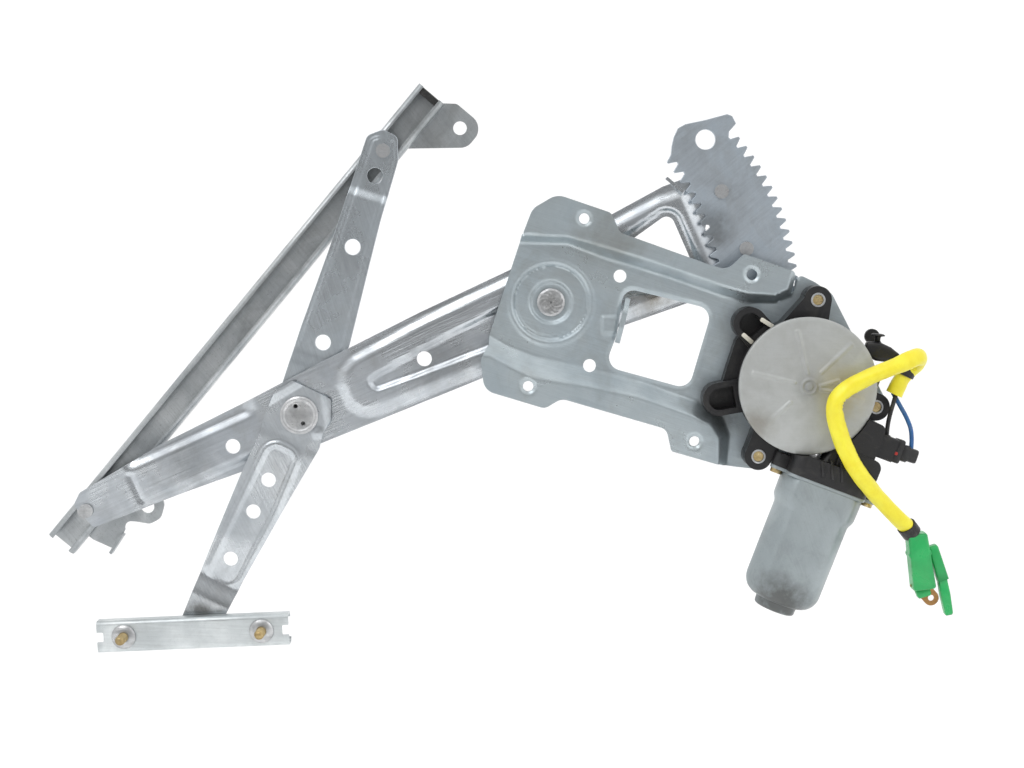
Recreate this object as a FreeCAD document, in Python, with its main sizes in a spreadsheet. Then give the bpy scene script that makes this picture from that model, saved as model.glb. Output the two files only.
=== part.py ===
import FreeCAD, Part
import Sketcher
import math
import os
import re

# Cross-arm window regulator, seen from the inside of the door.
# +X runs towards the motor, +Z is up and +Y points away from the door panel.
# The origin is the centre of the four plate bolts, in the plate's front face.
# Everything is in millimetres.

Vector = FreeCAD.Vector
DOOR_SIDE = Vector(0, -1, 0)

# Driving dimensions

DIMENSIONS = {
    "Plate": {
        "plate_thickness": 1.6, "web_depth": 8, "wall_run": 4, "bolt_circle": 150,
        "bolt_count": 4, "first_bolt_angle": 26.6, "bolt_hole": 6.4, "collar_wall": 1.6,
        "collar_height": 4, "web_hole": 7.8, "dish_radius": 23.5, "dish_floor_radius": 12,
        "dish_rise": 3.6,
    },
    "Main pivot and arms": {
        "pivot_x": -53.2, "pivot_z": 16.7, "main_arm_angle": 204.2, "front_arm_angle": 244,
        "rear_arm_angle": 72.25, "arm_thickness": 2, "main_arm_front": 15, "arm_length": 313,
        "cross_distance": 168.3, "front_arm_length": 147.2, "rear_arm_length": 168.7,
        "front_gap": 0.5, "rear_gap": 2.5, "front_joggle": 3.5, "rear_joggle": 3,
        "tip_margin": 11, "arm_tip_half": 11.5, "arm_cross_half": 20.6, "arm_pivot_half": 27.5,
        "fan_half": 36, "fan_reach": 127, "arm_hole": 9.2, "front_arm_hole": 9,
        "rear_arm_hole": 9.6, "bead_depth": 2, "bead_run": 2.2, "pivot_bore": 10.6,
        "pivot_pin": 10.4, "pivot_play": 0.3, "pivot_head": 17, "pivot_head_height": 2,
        "washer_width": 5, "rivet_head_height": 1.4, "rivet_tail": 0.8,
    },
    "Gears": {
        "gear_module": 2.25, "sector_full_teeth": 132, "sector_teeth": 30, "pinion_teeth": 9,
        "first_tooth_angle": 41.2, "pinion_angle": -17.73, "tooth_addendum": 1.95,
        "tooth_dedendum": 2.75, "tooth_backlash": 0.5, "pressure_angle": 25,
        "sector_thickness": 3, "nest_shift_x": -46, "nest_shift_z": -4,
        "sector_hole": 12, "pinion_width": 5.6, "shaft_diameter": 12, "nose_radius": 156,
    },
    "Rails": {
        "rail_width": 19.5, "rail_depth": 10.5, "rail_wall": 1.3, "rail_lip": 3.5,
        "rail_gap": 0.6, "glass_rail_angle": 50.11, "glass_rail_length": 362,
        "glass_rail_tail": 30, "guide_rail_angle": 2.45, "guide_rail_length": 117,
        "roller_fit": 0.35, "loop_clearance": 1.7, "roller_neck": 9.4, "roller_play": 0.4,
        "pin_diameter": 6, "pin_fit": 0.05, "pin_head": 8.6, "pin_rivet": 1.5,
        "bracket_thickness": 1.6,
        "ear_offset": 26, "lower_ear": 20.6, "upper_ear": 327.3, "ear_hole": 8.4,
        "stop_block": 4, "stud_diameter": 6, "stud_spacing": 84, "stud_reach": 12,
        "collar_diameter": 15, "collar_thick": 2.2,
    },
    "Gearbox": {
        "drum_radius": 39.5, "drum_front": 28, "drum_wall": 3, "drum_floor": 3,
        "worm_offset": 31.8, "motor_angle": 249.4, "worm_height": 17.5, "tube_half": 8.2,
        "tube_end": 24, "worm_bore": 14, "adaptor_start": 38, "adaptor_half": 24.5,
        "wing_height": 14, "wing_radius": 10, "wing_pocket": 13, "wing_mouth": 42,
        "wing_floor": 3, "ear_radius": 8.2, "ear_root": 33, "ear_thickness": 16,
        "sleeve_bore": 6.4, "sleeve_wall": 1.1, "screw_head": 9.2, "screw_head_height": 2, "tip_depth": 0.5, "cover_thickness": 1.2,
        "cover_rim": 3, "cover_fit": 0.1, "cover_dome": 3, "rib_height": 0.8, "rib_width": 3,
        "wheel_teeth": 70, "wheel_radius": 26.5, "wheel_back": 5, "wheel_width": 9,
        "wheel_tooth": 1.3, "damper_radius": 20.3, "worm_radius": 6, "worm_tooth": 1.6,
        "worm_length": 22, "shaft_length": 27, "spigot": 28, "spigot_fit": 0.1, "seal_radius": 9,
        "seal_depth": 2.4, "boss_radius": 10, "gasket": 0.6, "screw": 6,
    },
    "Motor": {
        "can_start": 51, "can_length": 74, "can_radius": 23, "can_flat": 18, "can_wall": 1.5,
        "can_round": 8, "cup_radius": 13, "cup_length": 8, "flange_thickness": 2,
        "lug_offset": 29, "lug_radius": 4.4, "can_screw": 4, "can_screw_length": 10,
        "core_start": 66, "core_length": 38, "core_radius": 15, "core_slots": 8,
        "winding_reach": 6, "magnet_thickness": 4.4, "magnet_length": 46, "magnet_gap": 14,
        "shaft_radius": 2.5, "commutator_radius": 7, "commutator_start": 44,
        "commutator_length": 8,
        "bearing_fit": 0.05,
    },
    "Harness": {
        "sleeve_diameter": 10, "wire_diameter": 2.6, "socket_start": 20.5, "socket_length": 10.5,
        "plug_at": 18, "plug_width": 11, "plug_depth": 9, "plug_length": 18, "shell_wall": 1.5,
        "connector_back": 12, "connector_depth": 14, "lever_depth": 7, "terminal_hole": 3.6,
        "tape_wall": 0.8, "clip_wall": 1.3, "clip_width": 5, "clip_head": 9,
    },
}

doc = FreeCAD.newDocument("window_regulator")
sheet = doc.addObject("Spreadsheet::Sheet", "Sizes")
row = 1
for heading, cells in DIMENSIONS.items():
    sheet.set("A%d" % row, heading)
    for alias, number in cells.items():
        row += 1
        sheet.set("A%d" % row, alias)
        sheet.set("B%d" % row, str(number))
        sheet.setAlias("B%d" % row, alias)
    row += 2
doc.recompute()


def size(alias):
    """The number that the sheet holds under this alias."""
    return float(sheet.get(alias))


def bind(thing, path, formula):
    """Ties a property to a formula in which every word is an alias of the sheet."""
    thing.setExpression(path, re.sub(r"[a-z]\w+", lambda word: "Sizes." + word.group(), formula))


# Helpers for bodies, sketches and features

def new_body(label, x="0", y="0", z="0", angle=None):
    """A body whose own X axis is turned by angle from +X towards +Z about the origin given."""
    piece = doc.addObject("PartDesign::Body", label)
    piece.Label = label
    piece.Placement = FreeCAD.Placement(Vector(), FreeCAD.Rotation(DOOR_SIDE, 1 if angle else 0))
    for axis, formula in (("x", x), ("y", y), ("z", z)):
        bind(piece, ".Placement.Base." + axis, formula)
    if angle:
        bind(piece, ".Placement.Rotation.Angle", angle)
    doc.recompute()
    return piece


def new_sketch(piece, height="0", role="XZ_Plane"):
    """A sketch on an origin plane of the body, lifted by height along the plane's normal."""
    plane = next(part for part in piece.Origin.OriginFeatures if part.Role == role)
    drawing = piece.newObject("Sketcher::SketchObject", piece.Label + "_sketch")
    drawing.AttachmentSupport = (plane, [""])
    drawing.MapMode = "FlatFace"
    bind(drawing, ".AttachmentOffset.Base.z", height)
    return drawing


def outline(drawing, corners):
    """Closes straight edges and tangent arcs round corners given as (across, up, radius)."""
    points = [Vector(c[0], c[1], 0) for c in corners]
    radii = [c[2] if len(c) > 2 else 0 for c in corners]
    count = len(points)
    starts, ends, edges = [], [], []
    for i, corner in enumerate(points):
        before = (points[i - 1] - corner).normalize()
        after = (points[(i + 1) % count] - corner).normalize()
        half_turn = (math.pi - before.getAngle(after)) / 2
        back = radii[i] * math.tan(half_turn)
        starts.append(corner + before * back)
        ends.append(corner + after * back)
        if radii[i] > 0:
            bisector = (before + after).normalize()
            middle = corner + bisector * (radii[i] / math.cos(half_turn) - radii[i])
            edges.append(Part.Arc(starts[i], middle, ends[i]))
        else:
            edges.append(None)
    for i in range(count):
        if edges[i]:
            drawing.addGeometry(edges[i], False)
        if ends[i].distanceToPoint(starts[(i + 1) % count]) > 1e-6:
            drawing.addGeometry(Part.LineSegment(ends[i], starts[(i + 1) % count]), False)


def circle(drawing, across, up, diameter):
    """A circle whose centre and diameter follow formulas of the sheet."""
    edge = drawing.addGeometry(Part.Circle(Vector(1, 1, 0), Vector(0, 0, 1), 1), False)
    rules = (
        (Sketcher.Constraint("DistanceX", -1, 1, edge, 3, 1.0), across),
        (Sketcher.Constraint("DistanceY", -1, 1, edge, 3, 1.0), up),
        (Sketcher.Constraint("Diameter", edge, 2.0), diameter),
    )
    for rule, formula in rules:
        bind(drawing, "Constraints[%d]" % drawing.addConstraint(rule), formula)


def pad(piece, drawing, length, backwards=False):
    feature = piece.newObject("PartDesign::Pad", piece.Label + "_pad")
    feature.Profile = drawing
    feature.Reversed = backwards
    bind(feature, "Length", length)
    doc.recompute()
    return feature


def pocket(piece, drawing, length=None, backwards=False):
    """Cuts to a length, or right through both ways, and checks that metal went."""
    before = piece.Shape.Volume
    feature = piece.newObject("PartDesign::Pocket", piece.Label + "_pocket")
    feature.Profile = drawing
    if length:
        feature.Reversed = backwards
        bind(feature, "Length", length)
    else:
        feature.Type = "ThroughAll"
        feature.Midplane = True
    doc.recompute()
    if not piece.Shape.Volume < before - 1e-3:
        raise ValueError(piece.Label + ": a pocket cut nothing")


def holes(piece, centres, diameter):
    """Round holes right through, at centres given as pairs of formulas."""
    drawing = new_sketch(piece)
    for across, up in centres:
        circle(drawing, across, up, diameter)
    pocket(piece, drawing)


def loft(piece, sections, add=True):
    """A ruled loft between outlines given as (corners, height formula)."""
    drawings = []
    for corners, height in sections:
        drawing = new_sketch(piece, height)
        outline(drawing, corners)
        drawings.append(drawing)
    kind = "PartDesign::AdditiveLoft" if add else "PartDesign::SubtractiveLoft"
    feature = piece.newObject(kind, piece.Label + "_loft")
    feature.Profile = drawings[0]
    feature.Sections = drawings[1:]
    feature.Ruled = True
    doc.recompute()


def turned(piece, profile, axis="V_Axis", cut=False):
    """Revolves a profile drawn on the body's XY plane about its Y axis or its X axis."""
    drawing = new_sketch(piece, "0", "XY_Plane")
    outline(drawing, profile)
    kind = "PartDesign::Groove" if cut else "PartDesign::Revolution"
    feature = piece.newObject(kind, piece.Label + "_turned")
    feature.Profile = drawing
    feature.ReferenceAxis = (drawing, [axis])
    feature.Angle = 360
    doc.recompute()


def box_corners(left, right, low, high, radius=0):
    return [(left, low, radius), (right, low, radius), (right, high, radius), (left, high, radius)]


def shifted(corners, moves):
    """Moves each edge of an outline outwards by its own amount and meets them again."""
    count = len(corners)
    area = sum(corners[i][0] * corners[(i + 1) % count][1]
               - corners[(i + 1) % count][0] * corners[i][1] for i in range(count))
    side = 1 if area > 0 else -1
    lines = []
    for i in range(count):
        start, end = corners[i], corners[(i + 1) % count]
        run = Vector(end[0] - start[0], end[1] - start[1], 0).normalize()
        normal = Vector(run.y, -run.x, 0) * side
        lines.append((Vector(start[0], start[1], 0) + normal * moves[i], run))
    moved = []
    for i in range(count):
        (p, d), (q, e) = lines[i - 1], lines[i]
        cross = d.x * e.y - d.y * e.x
        gap = q - p
        along = (gap.x * e.y - gap.y * e.x) / cross
        corner = p + d * along
        moved.append((corner.x, corner.y, corners[i][2]))
    return moved


# Places worked out from the driving dimensions

def polar(distance, degrees):
    turn = math.radians(degrees)
    return Vector(distance * math.cos(turn), 0, distance * math.sin(turn))


MAIN_PIVOT = Vector(size("pivot_x"), 0, size("pivot_z"))
CROSS = MAIN_PIVOT + polar(size("cross_distance"), size("main_arm_angle"))
LIFT_PIN = MAIN_PIVOT + polar(size("arm_length"), size("main_arm_angle"))
REAR_PIN = CROSS + polar(size("rear_arm_length"), size("rear_arm_angle"))
FRONT_PIN = CROSS + polar(size("front_arm_length"), size("front_arm_angle"))
CENTRES = size("gear_module") * (size("sector_full_teeth") + size("pinion_teeth")) / 2
PINION = MAIN_PIVOT + polar(CENTRES, size("pinion_angle"))
MOTOR_FOOT = PINION + polar(size("worm_offset"), size("motor_angle") + 90)

PLACES = {
    "cross_x": CROSS.x, "cross_z": CROSS.z, "lift_pin_x": LIFT_PIN.x, "lift_pin_z": LIFT_PIN.z,
    "rear_pin_x": REAR_PIN.x, "rear_pin_z": REAR_PIN.z, "front_pin_x": FRONT_PIN.x,
    "front_pin_z": FRONT_PIN.z, "pinion_x": PINION.x, "pinion_z": PINION.z,
    "motor_x": MOTOR_FOOT.x, "motor_z": MOTOR_FOOT.z,
}
for alias, number in PLACES.items():
    sheet.set("A%d" % row, alias)
    sheet.set("B%d" % row, "%.9f" % number)
    sheet.setAlias("B%d" % row, alias)
    row += 1
doc.recompute()

THICK = size("arm_thickness")
MAIN_BACK = "main_arm_front + arm_thickness"
REAR_BACK = "main_arm_front + 2 * arm_thickness + rear_gap"
RAIL_FRONT = REAR_BACK + " + rear_joggle + rail_gap"
GUIDE_LIPS = "main_arm_front - front_gap - arm_thickness - front_joggle - rail_gap"
ZERO = "0 * web_depth"

# Base plate: a recessed web between two flanges that lie on the door panel

UPPER_FLANGE = [
    (-70.8, 56.7, 2), (-64.5, 73, 10), (-50, 81.5, 11), (-17.5, 70.5, 5), (-12.3, 58.8, 5),
    (41, 39.8, 9), (52, 36.6, 8), (62.3, 46, 2), (94.3, 34.9, 4), (91, 19.5, 7), (68, 19.2, 30),
    (-44, 57, 20),
]
UPPER_FOLDS = [0, 0, 0, 0, 0, 0, 0, 0, 1, 1, 1, 1]
LOWER_FLANGE = [
    (-90.5, -7.5, 2), (-95.6, -17, 6), (-93.5, -36, 9), (-57, -47, 6), (-47, -41, 8),
    (16.5, -59.5, 6), (19.5, -72.9, 2), (51, -82, 5), (56.5, -72, 5), (48.5, -59, 9),
    (-73, -22, 14),
]
LOWER_FOLDS = [0, 0, 0, 0, 0, 0, 0, 1, 1, 1, 1]
WEB = [
    (-70.8, 56.7, 1), (-44, 57, 20), (93, 22, 2), (96, 33.8, 3), (106, 29, 8), (116.5, 22, 8),
    (150.5, -43, 7), (146, -54.5, 7), (72, -84.8, 8), (58, -83.2, 4), (51, -82, 2), (30, -62, 3),
    (-45, -34, 3), (-60, -34, 3), (-86, -18, 3), (-90.8, -9.5, 1), (-90.4, -2.5, 6),
]
WINDOW = [
    (-9, 25.5, 7), (44.5, 12.5, 8), (30.5, -36, 8), (-20.5, -22, 8), (-13.5, -3.5, 14),
]
WEB_HOLES = (("-11.6", "32.6"), ("-29.8", "-21.5"))


def flange(piece, corners, folds):
    """A raised island: its folded edges slope down to the web, its cut edges are open."""
    wall = size("plate_thickness")
    run = size("wall_run")
    foot = shifted(corners, [run * fold for fold in folds])
    loft(piece, [(corners, "web_depth + plate_thickness"), (foot, "0")])
    inner_top = shifted(corners, [-wall * 0.8 if fold else 3 * wall for fold in folds])
    inner_foot = shifted(corners, [run - wall * 1.2 if fold else 3 * wall for fold in folds])
    loft(piece, [(inner_top, "web_depth"), (inner_foot, "0")], add=False)


plate = new_body("base_plate", y="web_depth + plate_thickness")
blank = new_sketch(plate)
outline(blank, WEB)
pad(plate, blank, "plate_thickness")
flange(plate, UPPER_FLANGE, UPPER_FOLDS)
flange(plate, LOWER_FLANGE, LOWER_FOLDS)
window = new_sketch(plate)
outline(window, WINDOW)
pocket(plate, window)
holes(plate, WEB_HOLES, "web_hole")
dish_cut = new_sketch(plate)
circle(dish_cut, "pivot_x", "pivot_z", "2 * dish_radius")
pocket(plate, dish_cut)

# The dish round the main pivot sinks towards the arm

RIM, FLOOR = size("dish_radius"), size("dish_floor_radius")
SHEET_WALL, RISE = size("plate_thickness"), size("dish_rise")


def dish_profile(centre):
    return [
        (centre + size("pivot_pin") / 2, RISE), (centre + FLOOR, RISE),
        (centre + FLOOR + 2, RISE * 0.45), (centre + RIM - 3, RISE * 0.45),
        (centre + RIM + 1, 0), (centre + RIM + 1, -SHEET_WALL), (centre + RIM - 0.2, -SHEET_WALL),
        (centre + RIM - 4, RISE * 0.45 - SHEET_WALL),
        (centre + FLOOR + 1, RISE * 0.45 - SHEET_WALL),
        (centre + FLOOR - 1, RISE - SHEET_WALL), (centre + size("pivot_pin") / 2, RISE - SHEET_WALL),
    ]


dish = new_sketch(plate, "0", "XY_Plane")
dish.AttachmentOffset = FreeCAD.Placement(Vector(size("pivot_x"), 0, size("pivot_z")),
                                          FreeCAD.Rotation())
bind(dish, ".AttachmentOffset.Base.x", "pivot_x")
bind(dish, ".AttachmentOffset.Base.z", "pivot_z")
outline(dish, dish_profile(0))
spin = plate.newObject("PartDesign::Revolution", "dish")
spin.Profile = dish
spin.ReferenceAxis = (dish, ["V_Axis"])
spin.Angle = 360
doc.recompute()

# Extruded collars and the four bolt holes

bolt_step = 360 / size("bolt_count")
bolt_places = []
for number in range(int(size("bolt_count"))):
    place = polar(size("bolt_circle") / 2, size("first_bolt_angle") + number * bolt_step)
    bolt_places.append(("%.6f" % place.x, "%.6f" % place.z))
collars = new_sketch(plate, "web_depth + plate_thickness")
for across, up in bolt_places:
    circle(collars, across, up, "bolt_hole + 2 * collar_wall")
pad(plate, collars, "collar_height", backwards=True)
holes(plate, bolt_places, "bolt_hole")

EARS = ((7.4, 50.4), (43.1, -13.6), (-26.9, -43.4))
ear_places = [("pinion_x + %g" % x, "pinion_z + %g" % z) for x, z in EARS]
holes(plate, ear_places, "screw")
holes(plate, [("pinion_x", "pinion_z")], "spigot")

# A bent stop tab at the corner of the window

tab = new_sketch(plate)
outline(tab, [(-22, 2.5), (-20.6, 1.7), (-14.8, 11.6), (-16.2, 12.4)])
pad(plate, tab, "web_depth")


# Plain turned or padded pieces

def ring(label, x, y, z, outer, inner, length):
    """A round bush or washer along Y: its back face is at y and it reaches towards the panel."""
    piece = new_body(label, x, y, z)
    drawing = new_sketch(piece)
    circle(drawing, ZERO, ZERO, outer)
    pad(piece, drawing, length)
    if inner:
        bore = new_sketch(piece)
        circle(bore, ZERO, ZERO, inner)
        pocket(piece, bore)
    return piece


def spindle(label, x, z, steps):
    """A stepped pin along Y from (radius, y start, y end) steps, all in the row's own y."""
    piece = new_body(label, x, "0", z)
    profile = [(0, steps[0][1])]
    for radius, start, end in steps:
        profile += [(radius, start), (radius, end)]
    profile.append((0, steps[-1][2]))
    turned(piece, profile)
    return piece


PIVOT_R = size("pivot_pin") / 2
HEAD_R = size("pivot_head") / 2
PLATE_FLOOR = size("web_depth") + size("dish_rise")
ARM_BACK = size("main_arm_front") + THICK
spindle("main_pivot_rivet", "pivot_x", "pivot_z", [
    (HEAD_R, PLATE_FLOOR - size("pivot_head_height"), PLATE_FLOOR),
    (PIVOT_R, PLATE_FLOOR, ARM_BACK + 0.3),
    (HEAD_R, ARM_BACK + 0.3, ARM_BACK + 0.3 + size("pivot_head_height")),
])
ring("pivot_washer", "pivot_x", "main_arm_front - pivot_play", "pivot_z",
     "pivot_pin + 2 * washer_width", "pivot_bore",
     "main_arm_front - pivot_play - web_depth - dish_rise - plate_thickness")


# Arms: each is padded thick enough for its step, then trimmed to one sheet

def trim(piece, corners):
    """Cuts away what lies in a side outline given as (along the arm, y from the back face)."""
    drawing = new_sketch(piece, "0", "XY_Plane")
    outline(drawing, corners)
    pocket(piece, drawing)


def recess(piece, corners, front):
    """Presses an area of the sheet back by the bead depth, with sloping sides."""
    run, wall = size("bead_run"), THICK * 0.6
    deep = [-run] * len(corners)
    outer = shifted(corners, [wall] * len(corners))
    outer_deep = shifted(corners, [wall - run] * len(corners))
    floor = front + " - bead_depth"
    loft(piece, [(outer, "0"), (outer_deep, "-bead_depth")])
    loft(piece, [(corners, front), (shifted(corners, deep), floor)], add=False)


TIP = size("arm_length") + size("tip_margin")
CROSS_AT = size("cross_distance")
TIP_HALF, CROSS_HALF = size("arm_tip_half"), size("arm_cross_half")
PIVOT_HALF, FAN_HALF, FAN = size("arm_pivot_half"), size("fan_half"), size("fan_reach")

main_arm = new_body("main_arm", "pivot_x", MAIN_BACK, "pivot_z", "main_arm_angle")
blank = new_sketch(main_arm)
half = [
    (TIP, TIP_HALF, 10), (TIP - 22, TIP_HALF + 3.5, 20), (TIP - 70, 16.5, 100),
    (CROSS_AT, CROSS_HALF, 200), (15, PIVOT_HALF, 200), (-90, FAN_HALF, 12),
    (6 - FAN, FAN_HALF - 2, 8), (-FAN - 2, 12, 60),
]
outline(blank, half + [(x, -z, r) for x, z, r in reversed(half)])
pad(main_arm, blank, "arm_thickness")
recess(main_arm, [
    (TIP - 38, 8.5, 6), (TIP - 124, 7, 6), (TIP - 124, -7, 6), (TIP - 38, -9.5, 6),
], "arm_thickness")
recess(main_arm, [(123, 6, 4), (27, 14.5, 6), (27, -14.5, 6), (123, -6, 4)], "arm_thickness")
fan_hole = new_sketch(main_arm)
outline(fan_hole, [(-36, 0, 5), (-89, 17, 5), (-87, -20, 7)])
pocket(main_arm, fan_hole)
holes(main_arm, [("-fan_reach + 19", "-0.6"), ("84.6", "0"), ("cross_distance + 45.7", "0.9")],
      "arm_hole")
holes(main_arm, [(ZERO, ZERO)], "pivot_bore")
holes(main_arm, [("cross_distance", ZERO)], "pivot_bore")
holes(main_arm, [("arm_length", ZERO)], "pin_diameter")

FRONT_LENGTH = size("front_arm_length")
STEP = size("front_joggle")
front_arm = new_body("equalizer_front_arm", "cross_x", "main_arm_front - front_gap", "cross_z",
                     "front_arm_angle")
blank = new_sketch(front_arm)
outline(blank, [
    (-17.4, -12.8, 1.5), (-6, -20.2, 1.5), (33, -17, 40), (92, -15, 100), (130, -12.4, 40),
    (FRONT_LENGTH + 11, -11, 10), (FRONT_LENGTH + 11, 11, 10), (130, 12.4, 40), (105, 15.4, 40),
    (36, 17.2, 80), (-8, 19.6, 1.5), (-17.4, 13.3, 1.5),
])
pad(front_arm, blank, "arm_thickness + front_joggle")
trim(front_arm, [(-40, -THICK), (112, -THICK), (118, -THICK - STEP), (118, -40), (-40, -40)])
trim(front_arm, [(112.8, 5), (112.8, 0), (118.8, -STEP), (FRONT_LENGTH + 40, -STEP),
                 (FRONT_LENGTH + 40, 5)])
holes(front_arm, [("44.4", "0.1"), ("66.2", "0.1"), ("98.9", "0.1")], "front_arm_hole")
holes(front_arm, [(ZERO, ZERO)], "pivot_pin")
holes(front_arm, [("front_arm_length", ZERO)], "pin_diameter")

REAR_LENGTH = size("rear_arm_length")
REAR_STEP = size("rear_joggle")
rear_arm = new_body("equalizer_rear_arm", "cross_x", REAR_BACK + " + rear_joggle", "cross_z",
                    "rear_arm_angle")
blank = new_sketch(rear_arm)
outline(blank, [
    (REAR_LENGTH + 12.3, 4, 4), (REAR_LENGTH + 6, 12, 5), (102, 13.5, 100), (50.7, 15.8, 100),
    (-17, 17, 14), (-17, -17, 14), (50.7, -15.8, 100), (127, -11.3, 60),
    (REAR_LENGTH - 3, -10.6, 10), (REAR_LENGTH + 11, -6, 5),
])
pad(rear_arm, blank, "arm_thickness + rear_joggle")
trim(rear_arm, [(-40, -REAR_STEP), (137, -REAR_STEP), (143, 0), (143, 5), (-40, 5)])
trim(rear_arm, [(137.8, -40), (137.8, -THICK - REAR_STEP), (143.8, -THICK),
                (REAR_LENGTH + 40, -THICK), (REAR_LENGTH + 40, -40)])
holes(rear_arm, [("46.1", "0.1"), ("107.4", "0.1"), ("152.8", "0.1")], "rear_arm_hole")
holes(rear_arm, [(ZERO, ZERO)], "pivot_pin")
holes(rear_arm, [("rear_arm_length", ZERO)], "pin_diameter")

# Cross pivot: one hub riveted in both equalizer arms, with the main arm turning on it

FRONT_FACE = size("main_arm_front") - size("front_gap") - THICK
REAR_FACE = size("main_arm_front") + THICK + size("rear_gap")
spindle("cross_pivot_hub", "cross_x", "cross_z", [
    (11.7, FRONT_FACE - 1.8, FRONT_FACE), (PIVOT_R, FRONT_FACE, REAR_FACE + THICK),
    (8.5, REAR_FACE + THICK, REAR_FACE + THICK + 1.6),
])
ring("cross_pivot_washer", "cross_x", "main_arm_front + arm_thickness + rear_gap", "cross_z",
     "pivot_pin + 2 * washer_width", "pivot_bore", "rear_gap - pivot_play")


# Sector gear and its pinion

def tooth_side(teeth, grow):
    """(radius, half angle) points up one side of a tooth, from root to tip, on an involute."""
    module, pressure = size("gear_module"), math.radians(size("pressure_angle"))
    pitch = module * teeth / 2
    base = pitch * math.cos(pressure)
    root, tip = pitch - size("tooth_dedendum"), pitch + size("tooth_addendum") + grow
    thick = (math.pi * module - size("tooth_backlash")) / 2 / pitch
    spread = math.tan(pressure) - pressure
    start = max(base, root)
    side = [] if root >= base else [root]
    side += [start + (tip - start) * step / 3 for step in range(4)]
    points = []
    for radius in side:
        roll = math.acos(min(1, base / radius))
        points.append((radius, thick / 2 + spread - (math.tan(roll) - roll)))
    return points


def gear_points(teeth, first, last, phase, centre=Vector(), grow=0):
    """Corners of teeth number first to last, anticlockwise, with tooth 0 at the phase angle."""
    side = tooth_side(teeth, grow)
    pitch = 360 / teeth
    points = []
    for number in range(first, last):
        middle = phase + number * pitch
        for radius, half_angle in side:
            points.append(polar(radius, middle - math.degrees(half_angle)))
        for radius, half_angle in reversed(side):
            points.append(polar(radius, middle + math.degrees(half_angle)))
    return [(p.x + centre.x, p.z + centre.z) for p in points]


FULL = int(size("sector_full_teeth"))
COUNT = int(size("sector_teeth"))
TOOTH_PITCH = 360 / FULL
LAST_TOOTH = size("first_tooth_angle") - (COUNT - 1) * TOOTH_PITCH
ROOT = size("gear_module") * FULL / 2 - size("tooth_dedendum")
NEST = Vector(size("nest_shift_x"), 0, size("nest_shift_z"))
outer = gear_points(FULL, 0, COUNT, LAST_TOOTH)
top = [polar(ROOT, 42.9), polar(ROOT + 2.5, 43.8), polar(size("nose_radius") - 1.5, 44),
       polar(size("nose_radius"), 45.8), polar(size("nose_radius") - 1.2, 46.9),
       polar(143.3, 49.8), polar(134, 53), polar(129.5, 53.9), polar(123.8, 53.4),
       polar(118.8, 52.3)]
inner = gear_points(FULL, 0, COUNT + 6, LAST_TOOTH - 4 * TOOTH_PITCH, NEST)
inner = [p for p in inner if LAST_TOOTH < math.degrees(math.atan2(p[1], p[0])) < 51.6]
toe = [polar(118, LAST_TOOTH - 3), polar(132, LAST_TOOTH - 3.6), polar(ROOT, LAST_TOOTH - 2)]
sector = new_body("sector_gear", "pivot_x", "main_arm_front", "pivot_z")
blank = new_sketch(sector)
outline(blank, outer + [(p.x, p.z) for p in top] + list(reversed(inner))
        + [(p.x, p.z) for p in toe])
pad(sector, blank, "sector_thickness")
SECTOR_HOLE = polar(134.9, 46.5)
holes(sector, [("%.3f" % SECTOR_HOLE.x, "%.3f" % SECTOR_HOLE.z)], "sector_hole")

RIVET_SPOTS = [polar(122.6, 15.3), polar(122.6, 33)]
rivets = new_body("sector_rivets", "pivot_x", "main_arm_front - sector_thickness", "pivot_z")
heads = new_sketch(rivets)
for spot in RIVET_SPOTS:
    circle(heads, "%.3f" % spot.x, "%.3f" % spot.z, "pin_head")
pad(rivets, heads, "rivet_head_height")
shanks = new_sketch(rivets, "-arm_thickness - sector_thickness - rivet_tail")
for spot in RIVET_SPOTS:
    circle(shanks, "%.3f" % spot.x, "%.3f" % spot.z, "pin_diameter")
pad(rivets, shanks, "arm_thickness + sector_thickness + rivet_tail")
spot_formulas = [("%.3f" % spot.x, "%.3f" % spot.z) for spot in RIVET_SPOTS]
holes(sector, spot_formulas, "pin_diameter")
arm_turn = -size("main_arm_angle")
arm_spots = [polar(122.6, 15.3 + arm_turn), polar(122.6, 33 + arm_turn)]
holes(main_arm, [("%.3f" % spot.x, "%.3f" % spot.z) for spot in arm_spots], "pin_diameter")
stop = new_sketch(main_arm, "arm_thickness")
outline(stop, [(-94.9, -40.3), (-100.9, -28.4), (-99.2, -27.6), (-93.2, -39.5)])
pad(main_arm, stop, "arm_thickness * 1.7")

PINION_TEETH = int(size("pinion_teeth"))
gap_phase = (size("pinion_angle") - LAST_TOOTH) / TOOTH_PITCH % 1
pinion_phase = size("pinion_angle") + 180 + (gap_phase + 0.5) * 360 / PINION_TEETH
pinion = new_body("output_pinion", "pinion_x", "main_arm_front + 1.4", "pinion_z")
blank = new_sketch(pinion)
outline(blank, gear_points(PINION_TEETH, 0, PINION_TEETH, pinion_phase))
pad(pinion, blank, "pinion_width")
shaft = new_sketch(pinion, "pinion_width")
circle(shaft, ZERO, ZERO, "shaft_diameter")
pad(pinion, shaft, "shaft_length")


# Rails, the rollers in them and the pins that carry the rollers

DEPTH, WALL, LIP = size("rail_depth"), size("rail_wall"), size("rail_lip")
HALF_RAIL, PLAY = size("rail_width") / 2, size("roller_play")
GLASS_Y = REAR_FACE + THICK + REAR_STEP + size("rail_gap")
GUIDE_Y = FRONT_FACE - STEP - size("rail_gap")
PIN_R, PIN_HEAD_R = size("pin_diameter") / 2, size("pin_head") / 2
SEAT = 2


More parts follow.
